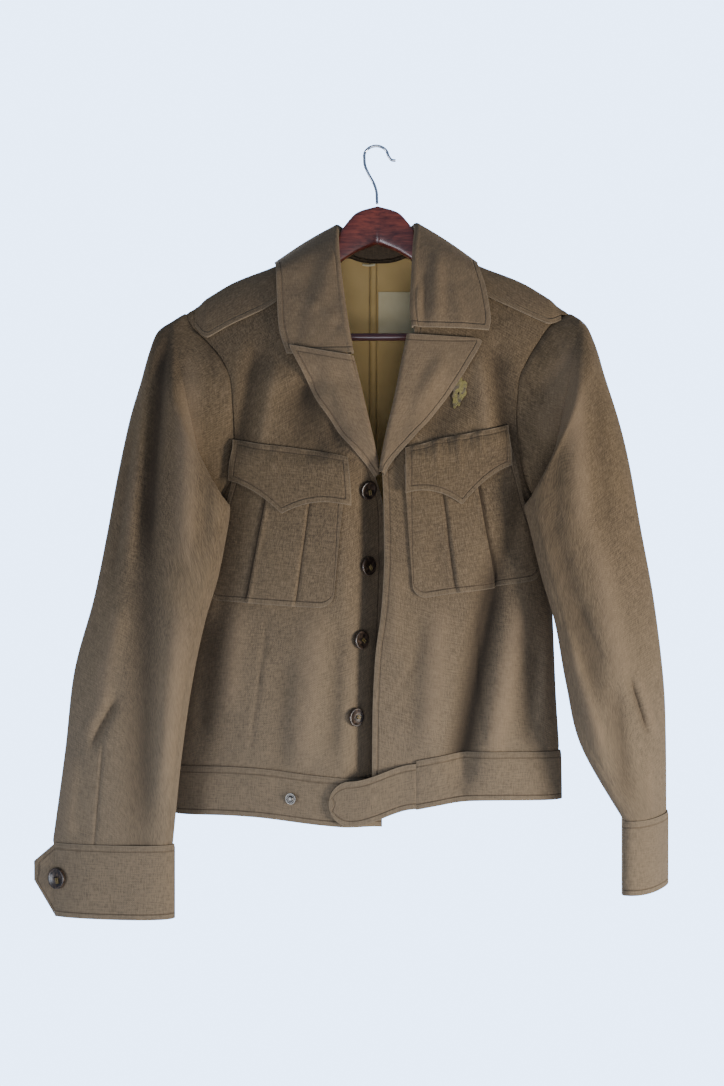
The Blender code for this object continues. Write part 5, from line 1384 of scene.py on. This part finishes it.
hanger = {
    # x, top, foot, thickness
    "arm": [
        (0.000, -0.0645, -0.1068, 0.0130),
        (0.022, -0.0720, -0.1160, 0.0130),
        (0.036, -0.0870, -0.1245, 0.0120),
        (0.042, -0.0960, -0.1285, 0.0115),
        (0.047, -0.1075, -0.1320, 0.0110),
        (0.053, -0.1100, -0.1360, 0.0110),
        (0.070, -0.1215, -0.1470, 0.0120),
        (0.106, -0.1420, -0.1680, 0.0120),
        (0.155, -0.1630, -0.2020, 0.0120),
        (0.182, -0.1800, -0.2240, 0.0120),
        (0.196, -0.1890, -0.2220, 0.0110),
    ],
    "forward": 0.002,
    "valley": (0.007, 0.022),  # the arms meet at a crease: its depth, and how soon it is gone
    "oval": (0.55, 0.75),  # a flat-sided section, as the wood is turned and sanded
    "endRound": (0.0012, 0.0008),
    "steps": 64,
    "barZ": -0.2112,
    "barRadius": 0.0042,
    "barHalf": 0.180,
    "socketGap": 0.0004,
    "wireRadius": 0.0016,
    # the hook's line, x and z: up the shank, round the bend by degrees, and out to the tip
    "shank": [(-0.0005, -0.0625), (-0.0008, -0.0560), (-0.0012, -0.0490), (-0.0040, -0.0400),
              (-0.0100, -0.0290), (-0.0138, -0.0200)],
    "bend": 0.0115,
    "bendX": -0.0015,
    "bendWide": 1.15,
    "bendTurn": (190, 5),
    "tip": [(0.0145, -0.0132), (0.0172, -0.0143), (0.0200, -0.0145)],
}


def makeHangerArms():
    # a section at the middle, extruded outwards and brought to the arm's size at each step
    top, foot, thick = (smoothThrough(hanger["arm"], 0, column) for column in (1, 2, 3))
    reach, (deep, soon) = hanger["arm"][-1][0], hanger["valley"]
    sideways = (0, math.pi / 2, 0)

    def station(x):
        high, low, half = float(top(x)), float(foot(x)), float(thick(x)) / 2
        y = float(shoulderY(x)) - hanger["forward"] + deep * (math.exp(-x / soon) - 0.5)
        return x, y, (high + low) / 2, half, (high - low) / 2

    startClean()
    before = station(0.0)
    _, y, z, half, tall = before
    bpy.ops.mesh.primitive_circle_add(vertices=28, radius=1.0, location=(0, y, z),
                                      rotation=sideways)
    arms = bpy.context.object
    bpy.ops.object.transform_apply(location=True, rotation=True, scale=True)
    for vertex in arms.data.vertices:
        across, up = (float(signedPower(part, power)) for part, power in
                      zip((vertex.co.y - y, vertex.co.z - z), hanger["oval"]))
        vertex.co.y, vertex.co.z = y + half * across, z + tall * up
    editAll()
    bpy.ops.mesh.select_mode(type="VERT")
    for step in range(1, hanger["steps"] + 1):
        after = station(reach * step / hanger["steps"])
        x, y, z, half, tall = after
        bpy.ops.mesh.extrude_region_move(TRANSFORM_OT_translate={
            "value": (x - before[0], y - before[1], z - before[2])})
        bpy.ops.transform.resize(value=(1.0, half / before[3], tall / before[4]),
                                 center_override=(x, y, z))
        before = after
    bpy.ops.mesh.edge_face_add()
    insetFaces([hanger["endRound"]])
    objectMode()
    applyModifier(arms, "MIRROR", use_axis=(True, False, False), use_clip=True,
                  use_mirror_merge=True, merge_threshold=0.00005)
    outwardNormals()
    barPlace = (0, float(shoulderY(hanger["barHalf"])), hanger["barZ"])
    gap = hanger["socketGap"]
    cutAway(arms, addCylinder(28, hanger["barRadius"] + gap, 2 * hanger["barHalf"] + 5 * gap,
                              barPlace, sideways))
    finishHard(arms, "hangerArms", ["hanger_arms"], mahoganyVarnish, 50)
    bar = addCylinder(28, hanger["barRadius"], 2 * hanger["barHalf"], barPlace, sideways)
    roundEdges(bar, 0.0008, 3, 50)
    finishHard(bar, "hangerBar", ["hanger_bar"], mahoganyVarnish)


def wireAlong(path, radius, count=16):
    # a ring of the wire's size, extruded from point to point and turned to face along the wire
    startClean()
    bpy.ops.mesh.primitive_circle_add(vertices=count, radius=radius, location=(0, 0, 0),
                                      fill_type="NGON")
    wire = bpy.context.object
    direction = unit(path[1] - path[0])
    tilt = math.atan2(direction[0], direction[2])
    wire.rotation_euler = (0, tilt, 0)
    wire.location = path[0]
    bpy.ops.object.transform_apply(location=True, rotation=True, scale=True)
    editAll()
    steps = np.diff(path, axis=0)
    for index, step in enumerate(steps):
        bpy.ops.mesh.extrude_region_move(TRANSFORM_OT_translate={"value": tuple(step)})
        direction = unit(step)
        if index < len(steps) - 1:
            direction = unit(unit(steps[index + 1]) + direction)
        aim = math.atan2(direction[0], direction[2])
        turn = (tilt - aim + math.pi) % (2 * math.pi) - math.pi
        if abs(turn) > 1e-6:
            bpy.ops.transform.rotate(value=turn, orient_axis="Y",
                                     center_override=tuple(path[index + 1]))
        tilt = aim
    objectMode()
    outwardNormals()
    return wire


def makeHook():
    bend, radius = hanger["bend"], hanger["wireRadius"]
    turn = np.radians(np.linspace(*hanger["bendTurn"], 9))
    over = np.stack([hanger["bendX"] + bend * hanger["bendWide"] * np.cos(turn),
                     radius - bend + bend * np.sin(turn)], axis=-1)
    marks = np.concatenate([hanger["shank"], over, hanger["tip"]])
    line = smoothRows(marks, (len(marks) - 1) * 5)
    hook = wireAlong(np.insert(line, 1, 0.0, axis=1), radius)
    roundEdges(hook, 0.0006, 3, 60)
    finishHard(hook, "hangerHook", ["hanger_hook"], chromedSteel)


hangingLoop = {
    "x": -0.010,
    "below": 0.004,
    "stand": 0.0030,
    "wide": 0.014,
    "bow": 0.0015,
    "sag": 0.0012,
    "radius": 0.0012,
    "steps": 16,
}


def makeHangingLoop():
    base = laid("back", hangingLoop["x"], bodyForm["backNeckZ"] - hangingLoop["below"],
                -lining["inside"] - clothSizes["lining"] - hangingLoop["stand"])
    along = np.linspace(0, 1, hangingLoop["steps"] + 1)
    arch = -np.sin(along * math.pi)
    path = base + np.stack([hangingLoop["wide"] * (along - 0.5), hangingLoop["bow"] * arch,
                            hangingLoop["sag"] * arch], axis=-1)
    loop = wireAlong(path, hangingLoop["radius"], 12)
    finishHard(loop, "hangingLoop", ["hanging_loop"], cottonTape)


# Materials. Colours are sRGB hex; pattern sizes are in millimetres.
patternSizes = {
    "liningRib": 1.6,      # like the wool's twill, twice as coarse as real so that it shows
    "liningTone": 45.5,
    "tapeYarn": 1.2,       # drawn twice as coarse as real
    "tapeStain": 16.7,
    "threadTwist": 0.556,
    "satinStitch": 1.4,
    "wornPatch": 5.56,
    "hornSwirl": 7.14,
    "grainWidth": 2.78,    # and twenty times as long
    "drawingLine": 1.11,   # real ones are finer than the render can show
}
# metres from band to band of a wave texture whose scale is 1
waveLength = {"DIAGONAL": 0.444, "X": 0.314}


def toLinear(hexColour):
    parts = [int(hexColour[k:k + 2], 16) / 255 for k in (0, 2, 4)]
    return (*(p / 12.92 if p <= 0.04045 else ((p + 0.055) / 1.055) ** 2.4 for p in parts), 1.0)


def addNode(finish, kind, settings=None):
    # a setting's value is a plain one, a hex colour, or the output of another node to link to
    node = finish.node_tree.nodes.new("ShaderNode" + kind)
    for key, value in (settings or {}).items():
        if isinstance(value, bpy.types.NodeSocket):
            finish.node_tree.links.new(value, node.inputs[key])
        elif isinstance(key, int) or key in node.inputs:
            colour = isinstance(value, str)
            node.inputs[key].default_value = toLinear(value) if colour else value
        else:
            setattr(node, key, value)
    return node.outputs


def newFinish(name):
    finish = bpy.data.materials.new(name)
    finish.use_nodes = True
    finish.node_tree.nodes.clear()
    return finish


woolLook = {
    "dark": "3a2e22",
    "light": "67563f",
    # this colour serves the edges' wear, and also the lower half painted paler, as lit from below
    "worn": "7f7260",
    # this colour and the next serve darker and paler slubs, and also painted shade in fold hollows
    # and a painted highlight on fold ridges
    "darkSlubAndShade": "221a12",
    "paleSlubAndHighlight": "87725a",
    "faded": "625139",
    "thread": "5a4a38",
    "fuzz": "b8a283",
    "twillSpacing": 1.5,   # real serge is 0.8 mm, drawn coarser so that it shows
    "fleckSize": 0.9,      # across the yarns, and four times as long along them
    "slubSize": 1.4,       # across the yarn, and seven times as long along it
    "patchSize": 90.0,
    "rumpleSize": 41.7,
    "litPaleFrom": -0.33,    # below this height, in metres, the cloth is painted paler, as lit from below, until the next
    "litPaleTo": -0.72,
    "stitchIn": 6.2,
    "stitchLength": 3.0,
    "rimStep": 1.2,
    "grooveWidth": 1.4,
}


def makeWoolSerge():
    # olive-drab wool serge, twill woven, brushed by wear: matt, with a soft fuzz that lifts the
    # edges, fine flecks of lighter and darker yarn, stitched edges that are worn paler, painted
    # shade in fold hollows and stitch grooves, a painted highlight on fold ridges, collar and
    # lapels, and a lower half painted paler as lit from below
    finish = newFinish("woolSerge")
    weave = addNode(finish, "UVMap", {"uv_map": "weave"})[0]
    place = addNode(finish, "TexCoord")["Object"]
    look = woolLook
    twill = addNode(finish, "TexWave", {
        "bands_direction": "DIAGONAL", "Distortion": 1.2, "Detail": 2.0, "Detail Scale": 1.5,
        "Scale": waveLength["DIAGONAL"] * 1000 / look["twillSpacing"], "Vector": weave})[1]
    # flecks, and slubs: thicker and thinner stretches of yarn in both directions of the weave
    fleck, slubDown, slubAcross = (addNode(finish, "TexNoise", {
        "Scale": 1000 / size, "Detail": detail, "Roughness": rough,
        "Vector": addNode(finish, "Mapping", {"Scale": stretch, "Vector": weave})[0]})[0]
        for size, detail, rough, stretch in (
            (look["fleckSize"], 2.0, 0.6, (1.0, 0.25, 1.0)),
            (look["slubSize"], 1.0, 0.5, (1.0, 0.14, 1.0)),
            (look["slubSize"], 1.0, 0.5, (0.14, 1.0, 1.0))))
    fleckAmount = addNode(finish, "MapRange", {
        "Value": fleck, "From Min": 0.34, "From Max": 0.66})[0]
    yarn = addNode(finish, "Math", {
        "operation": "MULTIPLY_ADD", 0: twill, 1: 0.25, 2: fleckAmount})[0]
    yarnShare = addNode(finish, "Math", {
        "operation": "MULTIPLY", "use_clamp": True, 0: yarn, 1: 0.8})[0]
    cloth = addNode(finish, "Mix", {
        "data_type": "RGBA", 0: yarnShare, 6: look["dark"], 7: look["light"]})[2]
    patch = addNode(finish, "TexNoise", {
        "Scale": 1000 / look["patchSize"], "Detail": 4.0, "Roughness": 0.6, "Vector": place})[0]
    height = addNode(finish, "SeparateXYZ", {"Vector": place})[2]
    slub = addNode(finish, "Math", {"operation": "ADD", 0: slubDown, 1: slubAcross})[0]
    folds = addNode(finish, "Attribute", {"attribute_name": "folds"})[2]
    # patches have faded and slubs are lighter or darker; the lower half is painted paler, as lit
    # from below, ridges of folds get a painted highlight and their hollows painted shade
    for source, start, end, most, curve, colour in (
            (patch, 0.38, 0.70, 0.45, "LINEAR", "faded"),
            (height, look["litPaleFrom"], look["litPaleTo"], 0.42, "SMOOTHSTEP", "worn"),
            (slub, 1.0, 1.28, 0.24, "LINEAR", "darkSlubAndShade"),
            (slub, 1.0, 0.72, 0.24, "LINEAR", "paleSlubAndHighlight"),
            (folds, 0.1, 1.0, 0.34, "LINEAR", "paleSlubAndHighlight"),
            (folds, -0.05, deepestFold, 0.8, "LINEAR", "darkSlubAndShade")):
        share = addNode(finish, "MapRange", {
            "interpolation_type": curve, "Value": source, "From Min": start, "From Max": end,
            "To Max": most})[0]
        cloth = addNode(finish, "Mix", {
            "data_type": "RGBA", 0: share, 6: cloth, 7: look[colour]})[2]
    # from a stitched edge inwards: the worn edge, the raised rim, then the sewn line's groove,
    # with painted shade in the groove
    stitching = addNode(finish, "UVMap", {"uv_map": "stitching"})[0]
    inwards, along, _ = addNode(finish, "SeparateXYZ", {"Vector": stitching})
    inset, wide = look["stitchIn"] / 1000, look["grooveWidth"] / 1000
    offLine = addNode(finish, "Math", {"operation": "SUBTRACT", 0: inwards, 1: inset})[0]
    fromLine = addNode(finish, "Math", {"operation": "ABSOLUTE", 0: offLine})[0]
    rim, groove, wearEdge = (addNode(finish, "MapRange", {
        "interpolation_type": "SMOOTHSTEP", "Value": source, "From Min": start, "From Max": end,
        "To Max": most})[0] for source, start, end, most in (
            (inwards, inset, inset - look["rimStep"] / 1000, 1.0), (fromLine, wide, 0.0, 1.0),
            (inwards, wide, 0.0, 0.35)))
    rimShare = addNode(finish, "Math", {
        "operation": "MULTIPLY_ADD", 0: rim, 1: 0.05, 2: wearEdge})[0]
    # painted shade in the sewn line's groove
    sewn = addNode(finish, "Math", {"operation": "MULTIPLY", 0: groove, 1: 0.25})[0]
    # the line is broken up into single stitches
    run = addNode(finish, "Math", {
        "operation": "MULTIPLY", 0: along, 1: 1000 / look["stitchLength"]})[0]
    beat = addNode(finish, "Math", {"operation": "PINGPONG", 0: run, 1: 0.5})[0]
    stitch = addNode(finish, "MapRange", {"Value": beat, "From Min": 0.08, "From Max": 0.2})[0]
    threadShare = addNode(finish, "Math", {"operation": "MULTIPLY", 0: sewn, 1: stitch})[0]
    for share, colour in ((rimShare, "worn"), (sewn, "dark"), (threadShare, "thread")):
        cloth = addNode(finish, "Mix", {
            "data_type": "RGBA", 0: share, 6: cloth, 7: look[colour]})[2]
    # relief: soft rumples, yarn fuzz, weave, then the raised rim and the sewn line
    rumple = addNode(finish, "TexNoise", {
        "Scale": 1000 / look["rumpleSize"], "Detail": 3.0, "Vector": place})[0]
    edging = addNode(finish, "Math", {
        "operation": "MULTIPLY_ADD", 0: groove, 1: -0.9, 2: rim})[0]
    relief = {}
    for raised, strength, distance in ((rumple, 0.6, 0.006), (fleck, 0.45, 0.0005),
                                       (twill, 0.30, 0.0004), (edging, 0.9, 0.0007)):
        relief = {"Normal": addNode(finish, "Bump", {
            "Height": raised, "Strength": strength, "Distance": distance, **relief})[0]}
    shader = addNode(finish, "BsdfPrincipled", {
        "Base Color": cloth, "Roughness": 0.92, "IOR": 1.5, "Specular IOR Level": 0.25,
        "Sheen Weight": 0.30, "Sheen Roughness": 0.45, "Sheen Tint": look["fuzz"], **relief})[0]
    addNode(finish, "OutputMaterial", {0: shader})
    return finish


def makeCottonLining():
    # cotton twill lining, olive gold, pressed flat: matt, with fine ribs, soft creasing and
    # painted shade along its seams
    finish = newFinish("cottonLining")
    weave = addNode(finish, "UVMap", {"uv_map": "weave"})[0]
    place = addNode(finish, "TexCoord")["Object"]
    ribs = addNode(finish, "TexWave", {
        "bands_direction": "DIAGONAL", "Distortion": 0.6, "Detail": 1.0, "Vector": weave,
        "Scale": waveLength["DIAGONAL"] * 1000 / patternSizes["liningRib"]})[1]
    tone = addNode(finish, "TexNoise", {
        "Scale": 1000 / patternSizes["liningTone"], "Detail": 5.0, "Vector": place})[0]
    cloth = addNode(finish, "Mix", {
        "data_type": "RGBA", 0: tone, 6: "c39b55", 7: "e6c079"})[2]
    folds = addNode(finish, "Attribute", {"attribute_name": "folds"})[2]
    # painted shade in the seams' grooves
    sewn = addNode(finish, "MapRange", {
        "Value": folds, "From Min": -0.05, "From Max": deepestFold, "To Max": 0.7})[0]
    cloth = addNode(finish, "Mix", {"data_type": "RGBA", 0: sewn, 6: cloth, 7: "4a3818"})[2]
    crumple = addNode(finish, "Bump", {"Strength": 0.5, "Distance": 0.004, "Height": tone})[0]
    bump = addNode(finish, "Bump", {
        "Strength": 0.25, "Distance": 0.0003, "Height": ribs, "Normal": crumple})[0]
    shader = addNode(finish, "BsdfPrincipled", {
        "Base Color": cloth, "Roughness": 0.72, "IOR": 1.5, "Sheen Weight": 0.15,
        "Normal": bump})[0]
    addNode(finish, "OutputMaterial", {0: shader})
    return finish


def makeCottonTape():
    # plain-woven cotton tape, once cream, yellowed by age: matt, with a fine square weave
    finish = newFinish("cottonTape")
    weave = addNode(finish, "UVMap", {"uv_map": "weave"})[0]
    place = addNode(finish, "TexCoord")["Object"]
    threads = addNode(finish, "TexChecker", {
        "Scale": 1000 / patternSizes["tapeYarn"], "Vector": weave})[1]
    stain = addNode(finish, "TexNoise", {
        "Scale": 1000 / patternSizes["tapeStain"], "Detail": 4.0, "Vector": place})[0]
    cloth = addNode(finish, "Mix", {
        "data_type": "RGBA", 0: stain, 6: "dcc48c", 7: "f2e0b2"})[2]
    bump = addNode(finish, "Bump", {"Strength": 0.2, "Distance": 0.0002, "Height": threads})[0]
    shader = addNode(finish, "BsdfPrincipled", {
        "Base Color": cloth, "Roughness": 0.85, "IOR": 1.5, "Normal": bump})[0]
    addNode(finish, "OutputMaterial", {0: shader})
    return finish


def makeCottonThread():
    # waxed cotton button thread, ochre: a faint gloss on twisted strands
    finish = newFinish("cottonThread")
    place = addNode(finish, "TexCoord")["Object"]
    twist = addNode(finish, "TexNoise", {
        "Scale": 1000 / patternSizes["threadTwist"], "Detail": 2.0, "Vector": place})[0]
    colour = addNode(finish, "Mix", {
        "data_type": "RGBA", 0: twist, 6: "54421f", 7: "84703c"})[2]
    bump = addNode(finish, "Bump", {"Strength": 0.4, "Distance": 0.0002, "Height": twist})[0]
    shader = addNode(finish, "BsdfPrincipled", {
        "Base Color": colour, "Roughness": 0.6, "IOR": 1.5, "Normal": bump})[0]
    addNode(finish, "OutputMaterial", {0: shader})
    return finish


def makeWornEmbroidery():
    # the worn remains of machine embroidery: short satin stitches of olive and gold thread
    finish = newFinish("wornEmbroidery")
    weave = addNode(finish, "UVMap", {"uv_map": "weave"})[0]
    place = addNode(finish, "TexCoord")["Object"]
    strands = addNode(finish, "TexWave", {
        "bands_direction": "X", "Distortion": 3.0, "Detail": 2.0, "Vector": weave,
        "Scale": waveLength["X"] * 1000 / patternSizes["satinStitch"]})[1]
    bare = addNode(finish, "TexNoise", {
        "Scale": 1000 / patternSizes["wornPatch"], "Detail": 3.0, "Vector": place})[0]
    colour = addNode(finish, "Mix", {
        "data_type": "RGBA", 0: strands, 6: "4d4424", 7: "8a7d3c"})[2]
    worn = addNode(finish, "MapRange", {"Value": bare, "From Min": 0.48, "From Max": 0.62})[0]
    colour = addNode(finish, "Mix", {"data_type": "RGBA", 0: worn, 6: colour, 7: "4f4331"})[2]
    bump = addNode(finish, "Bump", {"Strength": 0.5, "Distance": 0.0005, "Height": strands})[0]
    shader = addNode(finish, "BsdfPrincipled", {
        "Base Color": colour, "Roughness": 0.62, "IOR": 1.5, "Normal": bump})[0]
    addNode(finish, "OutputMaterial", {0: shader})
    return finish


def makeHornPlastic():
    # casein plastic made to look like horn, turned and polished: dark brown, with paler swirls
    finish = newFinish("hornPlastic")
    place = addNode(finish, "TexCoord")["Object"]
    swirl = addNode(finish, "TexNoise", {
        "Scale": 1000 / patternSizes["hornSwirl"], "Detail": 4.0, "Distortion": 2.5,
        "Vector": place})[0]
    share = addNode(finish, "MapRange", {"Value": swirl, "From Min": 0.45, "From Max": 0.75})[0]
    colour = addNode(finish, "Mix", {
        "data_type": "RGBA", 0: share, 6: "1f1712", 7: "5a4636"})[2]
    rough = addNode(finish, "MapRange", {"Value": swirl, "To Min": 0.22, "To Max": 0.40})[0]
    shader = addNode(finish, "BsdfPrincipled", {
        "Base Color": colour, "Roughness": rough, "IOR": 1.53})[0]
    addNode(finish, "OutputMaterial", {0: shader})
    return finish


def makeMahoganyVarnish():
    # lotus wood stained mahogany and varnished: dark red brown, straight grain under a gloss
    finish = newFinish("mahoganyVarnish")
    place = addNode(finish, "TexCoord")["Object"]
    along = addNode(finish, "Mapping", {"Scale": (0.05, 1.0, 1.0), "Vector": place})[0]
    grain = addNode(finish, "TexNoise", {
        "Scale": 1000 / patternSizes["grainWidth"], "Detail": 6.0, "Roughness": 0.65,
        "Vector": along})[0]
    share = addNode(finish, "MapRange", {"Value": grain, "From Min": 0.35, "From Max": 0.70})[0]
    colour = addNode(finish, "Mix", {
        "data_type": "RGBA", 0: share, 6: "43150f", 7: "7d3a2b"})[2]
    bump = addNode(finish, "Bump", {"Strength": 0.12, "Distance": 0.0003, "Height": grain})[0]
    shader = addNode(finish, "BsdfPrincipled", {
        "Base Color": colour, "Roughness": 0.34, "IOR": 1.5, "Coat Weight": 0.6,
        "Coat Roughness": 0.18, "Normal": bump})[0]
    addNode(finish, "OutputMaterial", {0: shader})
    return finish


def makeBrightMetal(name, colour, smoothest, roughest):
    # chrome on drawn steel wire is a mirror with the faintest drawing lines; the press stud's
    # nickel has dulled with age to a grey satin
    finish = newFinish(name)
    place = addNode(finish, "TexCoord")["Object"]
    lines = addNode(finish, "TexNoise", {
        "Scale": 1000 / patternSizes["drawingLine"], "Detail": 2.0, "Vector": place})[0]
    rough = addNode(finish, "MapRange", {
        "Value": lines, "To Min": smoothest, "To Max": roughest})[0]
    shader = addNode(finish, "BsdfPrincipled", {
        "Base Color": colour, "Metallic": 1.0, "Roughness": rough})[0]
    addNode(finish, "OutputMaterial", {0: shader})
    return finish


def makePaleFloor():
    # a matt, pale board under the object
    finish = newFinish("paleFloor")
    shader = addNode(finish, "BsdfPrincipled", {"Base Color": "dfe3e8", "Roughness": 0.8})[0]
    addNode(finish, "OutputMaterial", {0: shader})
    return finish


studio = {
    "floorZ": -1.75,
    "floorRadius": 1.6,
    "background": "b9d6ff",
    "backgroundStrength": 6.5,
    "ambientStrength": 0.38,
    "camera": (-0.01705, -2.2, -0.43516),
    "lens": 66.3,
    "sensor": 36.0,
    "lampAim": (0.0, 0.0, -0.45),
    # place, size, watts, colour
    "lamps": [
        ((2.0, -1.15, -1.0), 0.8, 76.0, "fff8ee"),
        ((-1.7, -1.5, -1.0), 1.0, 26.0, "edf3ff"),
        ((0.2, -2.5, -1.1), 1.3, 20.0, "f2f5ff"),
        ((-0.6, 2.2, 0.2), 1.4, 75.0, "f2f6ff"),
    ],
}


def makeStudio():
    startClean()
    bpy.ops.mesh.primitive_circle_add(vertices=96, radius=studio["floorRadius"],
                                      fill_type="NGON", location=(0, 0, studio["floorZ"]))
    floor = bpy.context.object
    floor.name = "paleFloorDisc"
    floor.data.materials.append(makePaleFloor())
    bpy.ops.object.transform_apply(location=True, rotation=True, scale=True)
    world = bpy.data.worlds.new("studioWorld")
    world.use_nodes = True
    sky = world.node_tree.nodes["Background"]
    sky.inputs["Color"].default_value = toLinear(studio["background"])
    # the backdrop is seen bright, but lights the cloth softly, so that its folds keep their shade
    strength = addNode(world, "MapRange", {
        "Value": addNode(world, "LightPath")["Is Camera Ray"],
        "To Min": studio["ambientStrength"], "To Max": studio["backgroundStrength"]})[0]
    world.node_tree.links.new(strength, sky.inputs["Strength"])
    bpy.context.scene.world = world
    for place, size, watts, colour in studio["lamps"]:
        lamp = bpy.data.lights.new("softbox", "AREA")
        lamp.shape = "DISK"
        lamp.size, lamp.energy = size, watts
        lamp.color = toLinear(colour)[:3]
        holder = bpy.data.objects.new("softbox", lamp)
        holder.location = place
        aim = Vector(studio["lampAim"]) - Vector(place)
        holder.rotation_mode = "QUATERNION"
        holder.rotation_quaternion = aim.to_track_quat("-Z", "Y")
        bpy.context.scene.collection.objects.link(holder)
    lens = bpy.data.cameras.new("camera")
    lens.lens, lens.sensor_width, lens.sensor_fit = studio["lens"], studio["sensor"], "AUTO"
    camera = bpy.data.objects.new("camera", lens)
    camera.location = studio["camera"]
    camera.rotation_euler = (math.pi / 2, 0, 0)
    bpy.context.scene.collection.objects.link(camera)
    bpy.context.scene.camera = camera


woolSerge = makeWoolSerge()
cottonLining = makeCottonLining()
cottonTape = makeCottonTape()
cottonThread = makeCottonThread()
wornEmbroidery = makeWornEmbroidery()
hornPlastic = makeHornPlastic()
mahoganyVarnish = makeMahoganyVarnish()
chromedSteel = makeBrightMetal("chromedSteel", "c9cbd0", 0.08, 0.22)
dulledNickel = makeBrightMetal("dulledNickel", "6e6a64", 0.25, 0.50)
print("materials made")

stages = {
    "studio": makeStudio,
    "panels": makePanels,
    "sleeves": makeSleeves,
    "cuffs": makeCuffs,
    "waistband": makeWaistband,
    "waist tab": makeWaistTab,
    "pockets": makePockets,
    "pocket flaps": makeFlaps,
    "lapels": makeLapels,
    "collar": makeCollar,
    "shoulder straps": makeShoulderStraps,
    "lining and neck label": makeLining,
    "fly strip": makeFlyStrip,
    "chest scrap": makeChestScrap,
    "buttons": makeButtons,
    "press stud": makePressStud,
    "hanger arms and bar": makeHangerArms,
    "hook": makeHook,
    "hanging loop": makeHangingLoop,
}
for stage, make in stages.items():
    make()
    print(f"{stage} made")
startClean()
